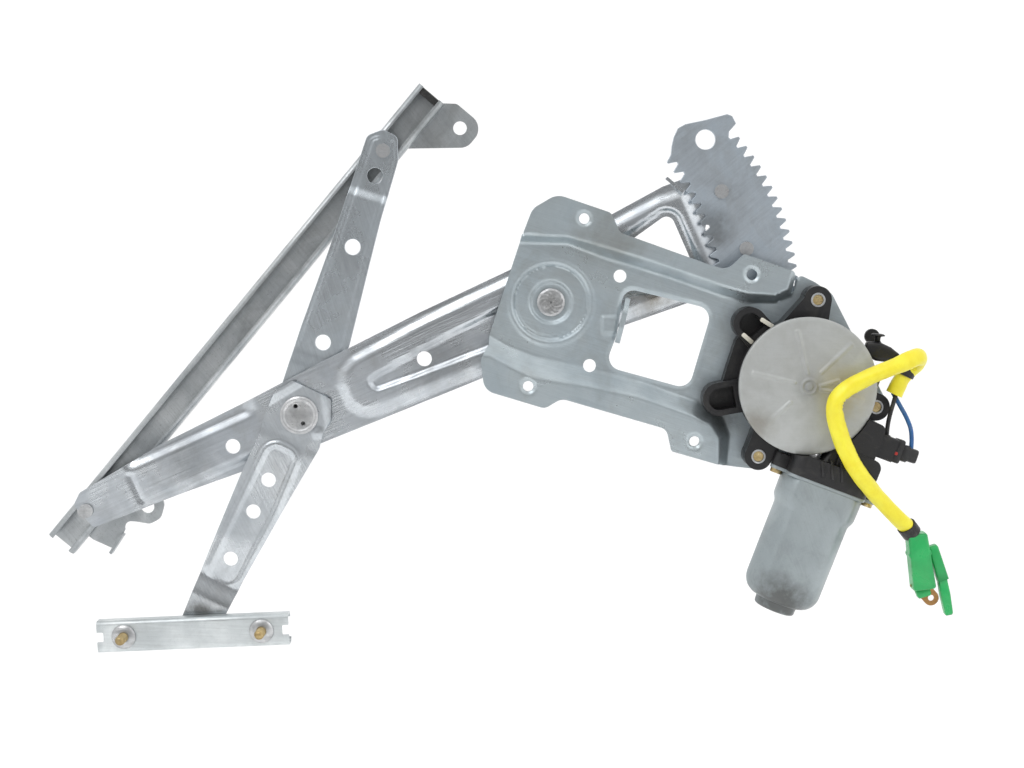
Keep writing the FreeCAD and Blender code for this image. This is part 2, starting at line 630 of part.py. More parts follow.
def rail(label, x, y, z, angle, side, start, length):
    """A lipped channel along its own X; side is +1 where its open face looks at the panel."""
    piece = new_body(label, x, y, z, angle)
    drawing = new_sketch(piece, start, "YZ_Plane")
    near, far, out, bend = side * WALL, side * (DEPTH - WALL), HALF_RAIL, 2 * WALL
    outline(drawing, [
        (0, LIP - out), (0, -out, bend), (side * DEPTH, -out, bend), (side * DEPTH, out, bend),
        (0, out, bend), (0, out - LIP), (near, out - LIP), (near, out - WALL, WALL),
        (far, out - WALL, WALL), (far, WALL - out, WALL), (near, WALL - out, WALL),
        (near, LIP - out),
    ])
    pad(piece, drawing, length)
    return piece


def roller(label, x, z, lips, side, clearance):
    """A flanged roller behind a rail's lips, with a neck that stands out between them."""
    piece = new_body(label, x, "0", z)
    near, far = lips + side * (WALL + PLAY), lips + side * (DEPTH - WALL - PLAY)
    neck, floor = lips - side * size("rail_gap") / 2, far - side * SEAT
    bore, seat = PIN_R + size("pin_fit"), PIN_HEAD_R + PLAY
    neck_r, disc_r = size("roller_neck") / 2, HALF_RAIL - WALL - clearance
    turned(piece, [
        (bore, neck), (neck_r, neck), (neck_r, near), (disc_r, near, 0.6), (disc_r, far, 0.6),
        (seat, far), (seat, floor), (bore, floor),
    ])


glass_rail = rail("glass_rail", "lift_pin_x", RAIL_FRONT, "lift_pin_z", "glass_rail_angle", 1,
                  "-glass_rail_tail", "glass_rail_length")
guide_rail = rail("guide_rail", "front_pin_x", GUIDE_LIPS, "front_pin_z", "guide_rail_angle", -1,
                  "-guide_rail_length / 2", "guide_rail_length")
notches = new_sketch(guide_rail)
for end in (-1, 1):
    far = end * size("guide_rail_length") / 2
    outline(notches, box_corners(*sorted((far - 4 * end, far + end)), -3, 3, 0.9))
pocket(guide_rail, notches)
stud_places = [("-stud_spacing / 2", ZERO), ("stud_spacing / 2", ZERO)]
holes(guide_rail, stud_places, "stud_diameter")
studs = new_body("guide_rail_studs", "front_pin_x", GUIDE_LIPS + " - rail_depth + rail_wall",
                 "front_pin_z", "guide_rail_angle")
for height, wide, length in (("0", "stud_diameter", "rail_wall + stud_reach"),
                             ("rail_wall", "collar_diameter", "collar_thick")):
    drawing = new_sketch(studs, height)
    for across, up in stud_places:
        circle(drawing, across, up, wide)
    pad(studs, drawing, length)

FIT = size("roller_fit")
roller("lift_roller", "lift_pin_x", "lift_pin_z", GLASS_Y, 1, FIT)
roller("equalizer_roller", "rear_pin_x", "rear_pin_z", GLASS_Y, 1, size("loop_clearance"))
roller("guide_roller", "front_pin_x", "front_pin_z", GUIDE_Y, -1, FIT)
glass_seat = GLASS_Y + DEPTH - WALL - PLAY - SEAT + size("pin_fit")
guide_seat = GUIDE_Y - DEPTH + WALL + PLAY + SEAT - size("pin_fit")
MAIN_FACE, RIVET = size("main_arm_front"), size("pin_rivet")
spindle("lift_pin", "lift_pin_x", "lift_pin_z", [
    (PIN_HEAD_R, MAIN_FACE - RIVET, MAIN_FACE), (PIN_R, MAIN_FACE, MAIN_FACE + THICK),
    (PIN_HEAD_R + 2, MAIN_FACE + THICK, GLASS_Y - size("rail_gap")),
    (PIN_R, GLASS_Y - size("rail_gap"), glass_seat), (PIN_HEAD_R, glass_seat, glass_seat + RIVET),
])
spindle("rear_arm_pin", "rear_pin_x", "rear_pin_z", [
    (PIN_HEAD_R, REAR_FACE + REAR_STEP - RIVET, REAR_FACE + REAR_STEP),
    (PIN_R, REAR_FACE + REAR_STEP, glass_seat), (PIN_HEAD_R, glass_seat, glass_seat + RIVET),
])
spindle("front_arm_pin", "front_pin_x", "front_pin_z", [
    (PIN_HEAD_R, guide_seat - RIVET, guide_seat), (PIN_R, guide_seat, FRONT_FACE - STEP + THICK),
    (PIN_HEAD_R, FRONT_FACE - STEP + THICK, FRONT_FACE - STEP + THICK + RIVET),
])

# Brackets behind the glass rail, with the ears that hold the glass, and the end stop

BRACKET_BACK = RAIL_FRONT + " + rail_depth + bracket_thickness"
LOW_EAR, TOP_EAR, EAR = size("lower_ear"), size("upper_ear"), size("ear_offset")


def bracket(label, corners, ear):
    piece = new_body(label, "lift_pin_x", BRACKET_BACK, "lift_pin_z", "glass_rail_angle")
    drawing = new_sketch(piece)
    outline(drawing, corners)
    pad(piece, drawing, "bracket_thickness")
    holes(piece, [(ear, "-ear_offset")], "ear_hole")
    return piece


bracket("upper_rail_bracket", [
    (TOP_EAR - 27.3, 7, 2), (TOP_EAR - 31.3, -8, 1), (TOP_EAR - 6.3, -EAR - 11, 9),
    (TOP_EAR + 10.2, -EAR - 11, 9), (TOP_EAR + 10.2, -EAR + 11, 4), (TOP_EAR + 4.7, -8, 2),
    (TOP_EAR + 4.7, 7, 2),
], "upper_ear")
lower_bracket = bracket("lower_rail_bracket", [
    (-18, 7, 2), (-17.6, -12.9, 1), (-14, -26, 2), (0, -24.5, 2), (4, -20, 4),
    (LOW_EAR - 11.6, -EAR - 1, 4), (LOW_EAR - 7.6, -EAR - 8, 5), (LOW_EAR - 0.6, -EAR - 11, 6),
    (LOW_EAR + 8.4, -EAR - 7, 6), (LOW_EAR + 13.4, -20, 4), (36, -8, 2), (36, 7, 2),
], "lower_ear")
lip = new_sketch(lower_bracket)
outline(lip, [(-16, -27.8), (-2, -26.2), (-2.2, -24.4), (-15.8, -26)])
pad(lower_bracket, lip, "bracket_thickness * 5")

END = size("glass_rail_length") - size("glass_rail_tail")
end_stop = new_body("rail_end_stop", "lift_pin_x", RAIL_FRONT + " + rail_depth - rail_wall",
                    "lift_pin_z", "glass_rail_angle")
block = new_sketch(end_stop)
outline(block, box_corners(END - size("stop_block") - 0.5, END - 0.5, 2 * WALL - HALF_RAIL,
                           HALF_RAIL - 2 * WALL, 1.3))
pad(end_stop, block, "rail_depth - 2.5 * rail_wall")

# Gear housing in the motor's frame: own X runs down the motor, own Z across it

H, W = size("worm_height"), size("worm_offset")
TURN = math.radians(size("motor_angle"))


def in_motor_frame(across, up):
    """Turns an offset from the pinion axis into (along the motor, across it)."""
    return (across * math.cos(TURN) + up * math.sin(TURN),
            up * math.cos(TURN) - across * math.sin(TURN))


def strap(start, end, half, both=False):
    """Corners of a strap between two points, rounded about its far end or about both."""
    start, end = Vector(start[0], start[1], 0), Vector(end[0], end[1], 0)
    run = (end - start).normalize() * half
    side = Vector(-run.y, run.x, 0)
    tip, near = end + run, start - run if both else start
    turn = half * 0.98
    return [(near.x - side.x, near.y - side.y, turn * both), (tip.x - side.x, tip.y - side.y, turn),
            (tip.x + side.x, tip.y + side.y, turn), (near.x + side.x, near.y + side.y, turn * both)]


def ear_web(tip, left, right):
    """Corners of a housing ear: round about its tip, and wider where it leaves the drum."""
    half = size("ear_radius")
    tip = Vector(tip[0], tip[1], 0)
    along = Vector(tip).normalize()
    side = Vector(-along.y, along.x, 0)
    root, top, turn = along * size("ear_root"), tip + along * half, half * 0.98
    corners = [(root - side * right, 0), (tip - side * half, 2), (top - side * half, turn),
               (top + side * half, turn), (tip + side * half, 2), (root + side * left, 0)]
    straight = {1: right == half, 4: left == half}
    return [(p.x, p.y, r) for i, (p, r) in enumerate(corners) if not straight.get(i)]


def add_pad(piece, corners, height, length, role="XZ_Plane"):
    drawing = new_sketch(piece, height, role)
    outline(drawing, corners)
    pad(piece, drawing, length)


def add_round(piece, across, up, diameter, height, length, role="XZ_Plane"):
    drawing = new_sketch(piece, height, role)
    circle(drawing, across, up, diameter)
    pad(piece, drawing, length)


def cut_round(piece, spots, diameter, height, length, role="XZ_Plane", backwards=False):
    drawing = new_sketch(piece, height, role)
    for across, up in spots:
        circle(drawing, across, up, diameter)
    pocket(piece, drawing, length, backwards)


housing = new_body("gear_housing", "pinion_x", "web_depth", "pinion_z", "motor_angle")
add_round(housing, ZERO, ZERO, "2 * drum_radius", "0", "drum_front")
add_round(housing, ZERO, ZERO, "spigot - 2 * spigot_fit", "-plate_thickness",
          "plate_thickness + drum_floor")
NARROW = size("ear_radius")
EAR_ROOTS = ((20, NARROW), (NARROW, NARROW), (NARROW, 12))
for (x, z), (left, right) in zip(EARS, EAR_ROOTS):
    add_pad(housing, ear_web(in_motor_frame(x, z), left, right), "0", "ear_thickness")
WINGS = ((-32.4, 36), (-50.2, -9.2))
for x, z in WINGS:
    add_pad(housing, strap((0, 0), in_motor_frame(x, z), size("wing_radius")), "0", "wing_height")
border = [(-32.4, 36), (-40.5, 25.9), (-45.1, 11.1), (-48.5, -0.3), (-50.2, -9.2), (-10, 0)]
add_pad(housing, [in_motor_frame(x, z) + (2,) for x, z in border], "0", "wing_height - 4")
add_pad(housing, box_corners(-H - 10, 10 - H, W - size("tube_half"), W + size("tube_half"), 5),
        "-tube_end", "tube_end + can_start", "YZ_Plane")
adaptor = box_corners(-H - size("can_flat"), 0, W - size("adaptor_half"),
                      W + size("adaptor_half"), 7)
add_pad(housing, adaptor, "adaptor_start", "can_start - adaptor_start", "YZ_Plane")
LUG = size("lug_offset")
lugs = strap((-H, W - LUG), (-H, W + LUG), size("lug_radius"), True)
add_pad(housing, lugs, "adaptor_start + 5", "can_start - adaptor_start - 5", "YZ_Plane")
add_pad(housing, box_corners(6, 42, W, W + 20.5, 4), "3", "drum_front")
add_pad(housing, box_corners(27, 42, W, W + 26, 5), "2", "drum_front + 2")
COVER_EDGE = "2 * drum_radius + 2 * cover_fit + 2 * cover_thickness + 0.6"
cut_round(housing, [(ZERO, ZERO)], COVER_EDGE, "drum_front + 8", "8")
rim_groove = new_sketch(housing, "drum_front")
circle(rim_groove, ZERO, ZERO, "2 * drum_radius")
circle(rim_groove, ZERO, ZERO, COVER_EDGE)
pocket(housing, rim_groove, "cover_rim - gasket + 0.3")
cavity = new_sketch(housing, "drum_front")
circle(cavity, ZERO, ZERO, "2 * drum_radius - 2 * drum_wall")
pocket(housing, cavity, "drum_front - drum_floor")
add_round(housing, ZERO, ZERO, "2 * boss_radius", "drum_floor",
          "web_depth + wheel_back - drum_floor - 0.5")
holes(housing, [(ZERO, ZERO)], "shaft_diameter + 4 * bearing_fit")
cut_round(housing, [(ZERO, ZERO)], "2 * seal_radius", "-plate_thickness", "seal_depth",
          backwards=True)
SLEEVE = "sleeve_bore + 2 * sleeve_wall"
holes(housing, [("%.4f" % a, "%.4f" % b) for a, b in (in_motor_frame(x, z) for x, z in EARS)],
      SLEEVE)
for x, z in WINGS:
    end = in_motor_frame(x, z)
    share = size("wing_mouth") / math.hypot(*end)
    slot = new_sketch(housing, "wing_height")
    outline(slot, strap((end[0] * share, end[1] * share), end, size("wing_pocket") / 2))
    pocket(housing, slot, "wing_height - wing_floor")
axis_place = [("-worm_height", "worm_offset")]
cut_round(housing, axis_place, "worm_bore", "4 - tube_end", "can_start + tube_end - 4",
          "YZ_Plane", True)
cut_round(housing, axis_place, "worm_bore / 2 + 1", "-tube_end", "5", "YZ_Plane", True)
chamber = new_sketch(housing, "can_start", "YZ_Plane")
outline(chamber, box_corners(-H - 15.5, 15.5 - H, W - 20, W + 20, 10))
pocket(housing, chamber, "10")
lug_places = [("-worm_height", "worm_offset - lug_offset"),
              ("-worm_height", "worm_offset + lug_offset")]
cut_round(housing, lug_places, "can_screw", "can_start", "can_screw_length - flange_thickness",
          "YZ_Plane")

# Cover, gasket, sleeves and screws of the gearbox

DRUM_FACE = size("web_depth") - size("drum_front")
COVER_BACK = DRUM_FACE - size("gasket")
COVER, RIM_R = size("cover_thickness"), size("drum_radius") + size("cover_fit")
DOME = size("cover_dome")


def dome_line(lift):
    """(radius, y) points over the domed cover, lift above its inner face, from the middle out."""
    return [(0, COVER_BACK - DOME - lift), (8, COVER_BACK - DOME - lift),
            (30, COVER_BACK - DOME / 2 - lift), (RIM_R - 2.5, COVER_BACK - lift)]


cover = new_body("gear_cover", "pinion_x", "0", "pinion_z")
turned(cover, dome_line(COVER) + [
    (RIM_R + COVER, COVER_BACK - COVER, 1.5), (RIM_R + COVER, COVER_BACK + size("cover_rim")),
    (RIM_R, COVER_BACK + size("cover_rim")), (RIM_R, COVER_BACK),
] + list(reversed(dome_line(0))))
RIBS = (((-1.3, 8.4), (-7, 32.5)), ((6.9, 8.4), (24.6, 24.8)), ((-8.9, 2.5), (-32.6, 7.8)),
        ((-11, -9.3), (-25.5, -22.9)), ((7.1, -1.6), (31.6, -8.1)))
for start, end in RIBS:
    add_pad(cover, strap(start, end, size("rib_width") / 2, True),
            "drum_front - web_depth + gasket", "cover_dome * 2")
add_round(cover, ZERO, ZERO, "rib_width * 2.6", "drum_front - web_depth + gasket", "cover_dome * 2")
turned(cover, dome_line(COVER + size("rib_height")) + [(50, COVER_BACK - COVER), (50, -50), (0, -50)],
       cut=True)
turned(cover, dome_line(0) + [(RIM_R - 2.5, DRUM_FACE + 1), (0, DRUM_FACE + 1)], cut=True)

gasket = new_body("cover_gasket", "pinion_x", "web_depth - drum_front", "pinion_z")
add_round(gasket, ZERO, ZERO, "2 * drum_radius", "0", "gasket")
holes(gasket, [(ZERO, ZERO)], "2 * drum_radius - 2 * drum_wall")

sleeves = new_body("mount_sleeves", "pinion_x", "web_depth", "pinion_z")
screws = new_body("mount_screws", "pinion_x", "web_depth", "pinion_z")
spots = [("%g" % x, "%g" % z) for x, z in EARS]
tubes = new_sketch(sleeves)
shanks = new_sketch(screws, "-plate_thickness")
heads = new_sketch(screws, "-plate_thickness - screw_head_height")
for across, up in spots:
    circle(tubes, across, up, SLEEVE)
    circle(tubes, across, up, "sleeve_bore")
    circle(shanks, across, up, "screw")
    circle(heads, across, up, "screw_head")
pad(sleeves, tubes, "ear_thickness + gasket")
pad(screws, shanks, "plate_thickness + ear_thickness - tip_depth")
pad(screws, heads, "screw_head_height")

# Drive in the drum: the worm wheel turns the pinion through a rubber cushion and a plate

TEETH = int(size("wheel_teeth"))
TIP_R, TOOTH = size("wheel_radius"), size("wheel_tooth")
pitch = 360 / TEETH
phase = size("motor_angle") + 90 + pitch / 2
outer = []
for number in range(TEETH):
    middle = phase + number * pitch
    for radius, quarter in ((TIP_R - TOOTH, -0.28), (TIP_R, -0.13), (TIP_R, 0.13),
                            (TIP_R - TOOTH, 0.28)):
        spot = polar(radius, middle + quarter * pitch)
        outer.append((spot.x, spot.z))
wheel = new_body("worm_wheel", "pinion_x", "-wheel_back", "pinion_z")
add_pad(wheel, outer, "0", "wheel_width")
cut_round(wheel, [(ZERO, ZERO)], "2 * damper_radius", "wheel_width", "wheel_width * 2 / 3")
holes(wheel, [(ZERO, ZERO)], "shaft_diameter + 2 * pin_fit")

damper = new_body("drive_damper", "pinion_x", "-wheel_back - wheel_width / 3", "pinion_z")
add_round(damper, ZERO, ZERO, "2 * damper_radius", "0", "wheel_width / 2")
holes(damper, [(ZERO, ZERO)], "shaft_diameter + 4")
drive = new_body("drive_plate", "pinion_x", "-wheel_back - wheel_width * 5 / 6", "pinion_z")
add_round(drive, ZERO, ZERO, "2 * damper_radius - 2", "0", "wheel_width / 6")
holes(drive, [(ZERO, ZERO)], "shaft_diameter")
seal = new_body("shaft_seal", "pinion_x", "web_depth + plate_thickness", "pinion_z")
add_round(seal, ZERO, ZERO, "2 * seal_radius", "0", "seal_depth")
holes(seal, [(ZERO, ZERO)], "shaft_diameter + 2 * pin_fit")
windows = new_sketch(damper)
for third in range(3):
    spot = polar(size("damper_radius") * 0.69, 30 + third * 120)
    circle(windows, "%.3f" % spot.x, "%.3f" % spot.z, "damper_radius / 3")
pocket(damper, windows)
lobes = new_sketch(drive)
for third in range(3):
    spot = polar(size("damper_radius") * 0.69, 30 + third * 120)
    circle(lobes, "%.3f" % spot.x, "%.3f" % spot.z, "damper_radius / 3")
pad(drive, lobes, "wheel_width / 2", backwards=True)


# Motor: everything on the armature's axis, own X running down the motor

def motor_body(label):
    return new_body(label, "motor_x", "web_depth - worm_height", "motor_z", "motor_angle")


def motor_ring(label, start, length, outer, inner=None):
    """A disc or ring round the armature's axis, of outer and inner diameter."""
    piece = motor_body(label)
    add_round(piece, ZERO, ZERO, outer, start, length, "YZ_Plane")
    if inner:
        cut_round(piece, [(ZERO, ZERO)], inner, start, length, "YZ_Plane", True)
    return piece


def flat_sided(piece, radius, half, start):
    """A circle with two flats that face the panel and the door."""
    reach = math.sqrt(radius ** 2 - half ** 2)
    drawing = new_sketch(piece, start, "YZ_Plane")
    for side in (1, -1):
        ends = [Vector(-half * side, reach * side, 0), Vector(half * side, reach * side, 0)]
        drawing.addGeometry(Part.Arc(ends[0], Vector(0, radius * side, 0), ends[1]), False)
        drawing.addGeometry(Part.LineSegment(ends[1], Vector(half * side, -reach * side, 0)), False)
    return drawing


START, LONG = size("can_start"), size("can_length")
CAN, FLAT, SKIN, ROUND = size("can_radius"), size("can_flat"), size("can_wall"), size("can_round")
can = motor_body("motor_can")
pad(can, flat_sided(can, CAN, FLAT, "can_start"), "can_length")
turned(can, [(START + LONG - ROUND - 4, CAN), (START + LONG, CAN, ROUND), (START + LONG, 10),
             (START + LONG + 3, 10), (START + LONG + 3, CAN + 3),
             (START + LONG - ROUND - 4, CAN + 3)], "H_Axis", cut=True)
collar = box_corners(-FLAT, FLAT - 0.5, -size("adaptor_half"), size("adaptor_half"), 7)
add_pad(can, collar, "can_start", "flange_thickness", "YZ_Plane")
add_pad(can, strap((0, -LUG), (0, LUG), size("lug_radius"), True), "can_start",
        "flange_thickness", "YZ_Plane")
add_round(can, ZERO, ZERO, "2 * cup_radius", "can_start + can_length - 2",
          "cup_length + 2", "YZ_Plane")
pocket(can, flat_sided(can, CAN - SKIN, FLAT - SKIN, "can_start"), "can_length - can_wall - 6", True)
cut_round(can, [(ZERO, ZERO)], "2 * cup_radius - 2 * can_wall", "can_start + can_length - 10",
          "cup_length + 10 - can_wall", "YZ_Plane", True)
screw_spots = [(ZERO, "-lug_offset"), (ZERO, "lug_offset")]
cut_round(can, screw_spots, "can_screw + 0.2", "can_start", "flange_thickness", "YZ_Plane", True)
can_screws = motor_body("can_screws")
for wide, start, length in (
        ("can_screw", "can_start + flange_thickness - can_screw_length", "can_screw_length"),
        ("can_screw * 1.8", "can_start + flange_thickness", "can_screw * 0.6")):
    drawing = new_sketch(can_screws, start, "YZ_Plane")
    for across, up in screw_spots:
        circle(drawing, across, up, wide)
    pad(can_screws, drawing, length)

magnets = motor_ring("motor_magnets", "core_start - 4", "magnet_length",
                     "2 * can_radius - 2 * can_wall",
                     "2 * can_radius - 2 * can_wall - 2 * magnet_thickness")
gap = new_sketch(magnets, "0", "YZ_Plane")
outline(gap, box_corners(-CAN, CAN, -size("magnet_gap"), size("magnet_gap")))
pocket(magnets, gap)
end_bearing = motor_ring("end_bearing", "can_start + can_length + cup_length - can_wall - 6", "6",
                         "2 * cup_radius - 2 * can_wall", "2 * shaft_radius + 2 * bearing_fit")
worm_bearing = motor_ring("worm_bearing", "4 - tube_end", "6", "worm_bore",
                          "2 * shaft_radius + 2 * bearing_fit")
motor_ring("thrust_plug", "-tube_end", "4", "worm_bore / 2 + 1")

core = motor_ring("armature_core", "core_start", "core_length", "2 * core_radius",
                  "2 * shaft_radius")
windings = motor_body("armature_windings")
CORE_R, SLOTS = size("core_radius"), int(size("core_slots"))
slots, bars = new_sketch(core, "0", "YZ_Plane"), new_sketch(windings, "core_start", "YZ_Plane")
for number in range(SLOTS):
    turn = 360 / SLOTS * number
    for drawing, near, far, half in ((slots, 8.5, CORE_R + 1, 1.3), (bars, 8.5, CORE_R - 1, 1.3)):
        spots = []
        for reach, side in ((near, -1), (far, -1), (far, 1), (near, 1)):
            spot = polar(reach, turn) + polar(half * side, turn + 90)
            spots.append((spot.x, spot.z))
        outline(drawing, spots)
pocket(core, slots)
pad(windings, bars, "core_length")
for start in ("core_start - winding_reach", "core_start + core_length"):
    add_round(windings, ZERO, ZERO, "2 * core_radius - 2", start, "winding_reach", "YZ_Plane")
cut_round(windings, [(ZERO, ZERO)], "2 * shaft_radius", "core_start - winding_reach",
          "core_length + 2 * winding_reach", "YZ_Plane", True)
motor_ring("commutator", "commutator_start", "commutator_length", "2 * commutator_radius",
           "2 * shaft_radius")
shaft = motor_ring("armature_shaft", "4 - tube_end", "can_start + can_length + cup_length - can_wall"
                   " + tube_end - 4.4", "2 * shaft_radius")
add_round(shaft, ZERO, ZERO, "2 * worm_radius - 2 * worm_tooth", "-worm_length / 2",
          "worm_length", "YZ_Plane")
WORM_R, THREAD = size("worm_radius"), size("worm_tooth")
WORM_PITCH = 2 * math.pi * (TIP_R - TOOTH / 2) / TEETH
thread = new_sketch(shaft, "0", "XY_Plane")
first = -3.75 * WORM_PITCH
outline(thread, [(first - 0.55, WORM_R - THREAD - 0.3), (first + 0.55, WORM_R - THREAD - 0.3),
                 (first + 0.25, WORM_R), (first - 0.25, WORM_R)])
helix = shaft.newObject("PartDesign::AdditiveHelix", "worm_thread")
helix.Profile = thread
helix.ReferenceAxis = (thread, ["H_Axis"])
helix.Mode = 0
helix.Pitch = WORM_PITCH
helix.Height = 7.5 * WORM_PITCH
doc.recompute()

holder = motor_ring("brush_holder", "commutator_start + 5.5", "1.5", "40",
                    "2 * commutator_radius + 3")
trim_plate = new_sketch(holder, "0", "YZ_Plane")
outline(trim_plate, box_corners(-15.4, 15.4, -19.9, 19.9, 10))
outline(trim_plate, box_corners(-30, 30, -30, 30))
pocket(holder, trim_plate)
brushes, springs = motor_body("motor_brushes"), motor_body("brush_springs")
for side in (-1, 1):
    near = side * (size("commutator_radius") + 0.1)
    add_pad(brushes, box_corners(-2, 2, *sorted((near, near + side * 5.4))),
            "commutator_start + 1.5", "4", "YZ_Plane")
    add_pad(springs, box_corners(-1.5, 1.5, *sorted((near + side * 5.4, near + side * 10.4))),
            "commutator_start + 2", "3", "YZ_Plane")

# Socket on the housing and the plug in it, both across the motor

SHELL, NEAR, WIDE = size("shell_wall"), size("plug_at") - size("plug_width") / 2, size("plug_width")
TALL = size("plug_depth")
socket, plug = motor_body("motor_socket"), motor_body("motor_plug")
mouth = box_corners(NEAR, NEAR + WIDE, -TALL, 0, 1)
add_pad(socket, shifted(mouth, [SHELL] * 4), "socket_start", "socket_length", "XY_Plane")
hollow = new_sketch(socket, "socket_start + socket_length", "XY_Plane")
outline(hollow, mouth)
pocket(socket, hollow, "socket_length / 2")
add_pad(plug, mouth, "socket_start + socket_length / 2", "plug_length", "XY_Plane")
latch = motor_body("plug_lock")
add_pad(latch, box_corners(NEAR + WIDE * 0.3, NEAR + WIDE * 0.7, -TALL - 2, -TALL, 0.5),
        "socket_start + socket_length + 0.2", "plug_length / 2", "XY_Plane")


# Loom: straight runs joined by tangent arcs, swept with a round section

def route(points):
    """A wire of straight runs and arcs; each arc takes 0.45 of the shorter run beside it."""
    points = [Vector(*point) for point in points]
    edges, last, radii = [], points[0], []
    for before, corner, after in zip(points, points[1:], points[2:]):
        back, on = before - corner, after - corner
        reach = 0.45 * min(back.Length, on.Length)
        half_turn = (math.pi - back.getAngle(on)) / 2
        radius = reach / math.tan(half_turn)
        back, on = back.normalize(), on.normalize()
        start, end = corner + back * reach, corner + on * reach
        middle = (back + on).normalize() * (radius / math.cos(half_turn) - radius) + corner
        edges += [Part.LineSegment(last, start).toShape(), Part.Arc(start, middle, end).toShape()]
        last = end
        radii.append(radius)
    edges.append(Part.LineSegment(last, points[-1]).toShape())
    return Part.Wire(edges), radii


def cord(label, points, diameter):
    """Sweeps a disc along the route and prints its length, bend radii and volume."""
    path, radii = route(points)
    start, direction = Vector(*points[0]), Vector(*points[1]) - Vector(*points[0])
    disc = Part.Wire([Part.Circle(start, direction, diameter / 2).toShape()])
    piece = doc.addObject("Part::Feature", label)
    piece.Label = label
    piece.Shape = path.makePipeShell([disc], True, False)
    expected = math.pi * diameter ** 2 / 4 * path.Length
    print("%s: length %.1f, radii %s, volume %.1f against %.1f" % (
        label, path.Length, " ".join("%.1f" % r for r in radii), piece.Shape.Volume, expected))
    if abs(piece.Shape.Volume - expected) > 0.02 * expected:
        raise ValueError(label + ": the sweep is not a clean tube")
    return piece


SLEEVE_ROUTE = [
    (150.5, -12, -37), (154.5, -12.5, -28), (159, -13.2, -18.5), (164, -18.8, -10),
    (161.6, -29.3, -5), (151.6, -38, -7.4), (138, -35.5, -21.5), (122, -35.5, -29.5),
    (113.2, -35.5, -38.5), (111.5, -35.5, -50.5), (115, -35.5, -63), (121, -35, -75.5),
    (131, -34, -88), (143.5, -28.5, -102.5), (157, -22, -114.5),
]
BLUE_ROUTE = [(161, -14, -69.8), (161.6, -14.4, -60.5), (158, -14.6, -51), (153.4, -13.6, -43),
              (150.3, -10.4, -36.4)]
BLACK_ROUTE = [(146.2, -14, -62.6), (146.4, -14.8, -56), (147.6, -15, -49.6),
               (149.4, -14.6, -43.4), (151.6, -13.6, -36.4)]
cord("yellow_sleeve", SLEEVE_ROUTE, size("sleeve_diameter"))
cord("wire_blue", BLUE_ROUTE, size("wire_diameter"))
cord("wire_black", BLACK_ROUTE, size("wire_diameter"))

# Tape over the end of the sleeve, then the connector with its lever and its metal tab

SLEEVE_END = Vector(*SLEEVE_ROUTE[-1])
TAPE_END = Vector(161, -20, -119.4)
TAPE_RUN = TAPE_END - SLEEVE_END
tape = doc.addObject("Part::Cylinder", "tape_ring")
tape.Label = "tape_ring"
bind(tape, "Radius", "sleeve_diameter / 2 + tape_wall")
tape.Height = TAPE_RUN.Length
tape.Placement = FreeCAD.Placement(SLEEVE_END, FreeCAD.Rotation(Vector(0, 0, 1), TAPE_RUN))

connector = new_body("harness_connector")
add_pad(connector, [
    (157.2, -121.7, 2), (165.9, -119.3, 2), (170.4, -122.5, 2), (176.4, -148.9, 3),
    (168.6, -157.3, 2), (162.2, -157.3, 2), (157.6, -137.4, 20),
], "connector_back", "connector_depth")
lever = new_body("connector_lever")
add_pad(lever, [
    (170, -122.5), (174, -127, 8), (179.6, -136.5, 20), (184.8, -155, 60), (187.3, -164, 3),
    (182.5, -171.5, 1.5), (179, -157, 60), (176, -142, 40), (174, -132.5, 4), (172.5, -131.5),
], "connector_back + connector_depth / 4", "lever_depth")
terminal = new_body("connector_terminal")
add_pad(terminal, strap((164, -148), (173.3, -158.5), 4.6),
        "connector_back + connector_depth / 2", "shell_wall * 2 / 3")
holes(terminal, [("173.3", "-158.5")], "terminal_hole")

# Bracket riveted behind the plate, and the clip that holds the sleeve on it

harness_bracket = new_body("harness_bracket", y="web_depth + 2 * plate_thickness")
add_pad(harness_bracket, [
    (118, 2, 3), (131.5, -4.1, 20), (154.2, -11.2, 1.5), (151.4, -13.6, 2), (146.2, -16, 2),
    (138.5, -20.1, 12), (124, -24, 3),
], "0", "plate_thickness")
CLIP_FOOT, CLIP_AT = (141.2, -3.8), (155.6, -24.9)
clip = new_body("sleeve_clip", y="web_depth + plate_thickness")
add_round(clip, "%g" % CLIP_FOOT[0], "%g" % CLIP_FOOT[1], "clip_head", "0", "clip_wall * 2")
add_pad(clip, strap(CLIP_FOOT, CLIP_AT, size("clip_width") / 2), "clip_wall", "clip_wall")
add_round(clip, "%g" % CLIP_AT[0], "%g" % CLIP_AT[1], "clip_width", "clip_wall", "web_depth * 2")
RUN_START, RUN_END = Vector(*SLEEVE_ROUTE[1]), Vector(*SLEEVE_ROUTE[2])
RUN = (RUN_END - RUN_START).normalize()
band_start = (RUN_START + RUN_END) / 2 - RUN * size("clip_width") / 2 - clip.Placement.Base
for kind, radius in (("Additive", "sleeve_diameter / 2 + clip_wall"),
                     ("Subtractive", "sleeve_diameter / 2 + pin_fit")):
    band = clip.newObject("PartDesign::%sCylinder" % kind, "band")
    bind(band, "Radius", radius)
    bind(band, "Height", "clip_width")
    band.Placement = FreeCAD.Placement(band_start, FreeCAD.Rotation(Vector(0, 0, 1), RUN))
    doc.recompute()

# Every piece is checked before any is written

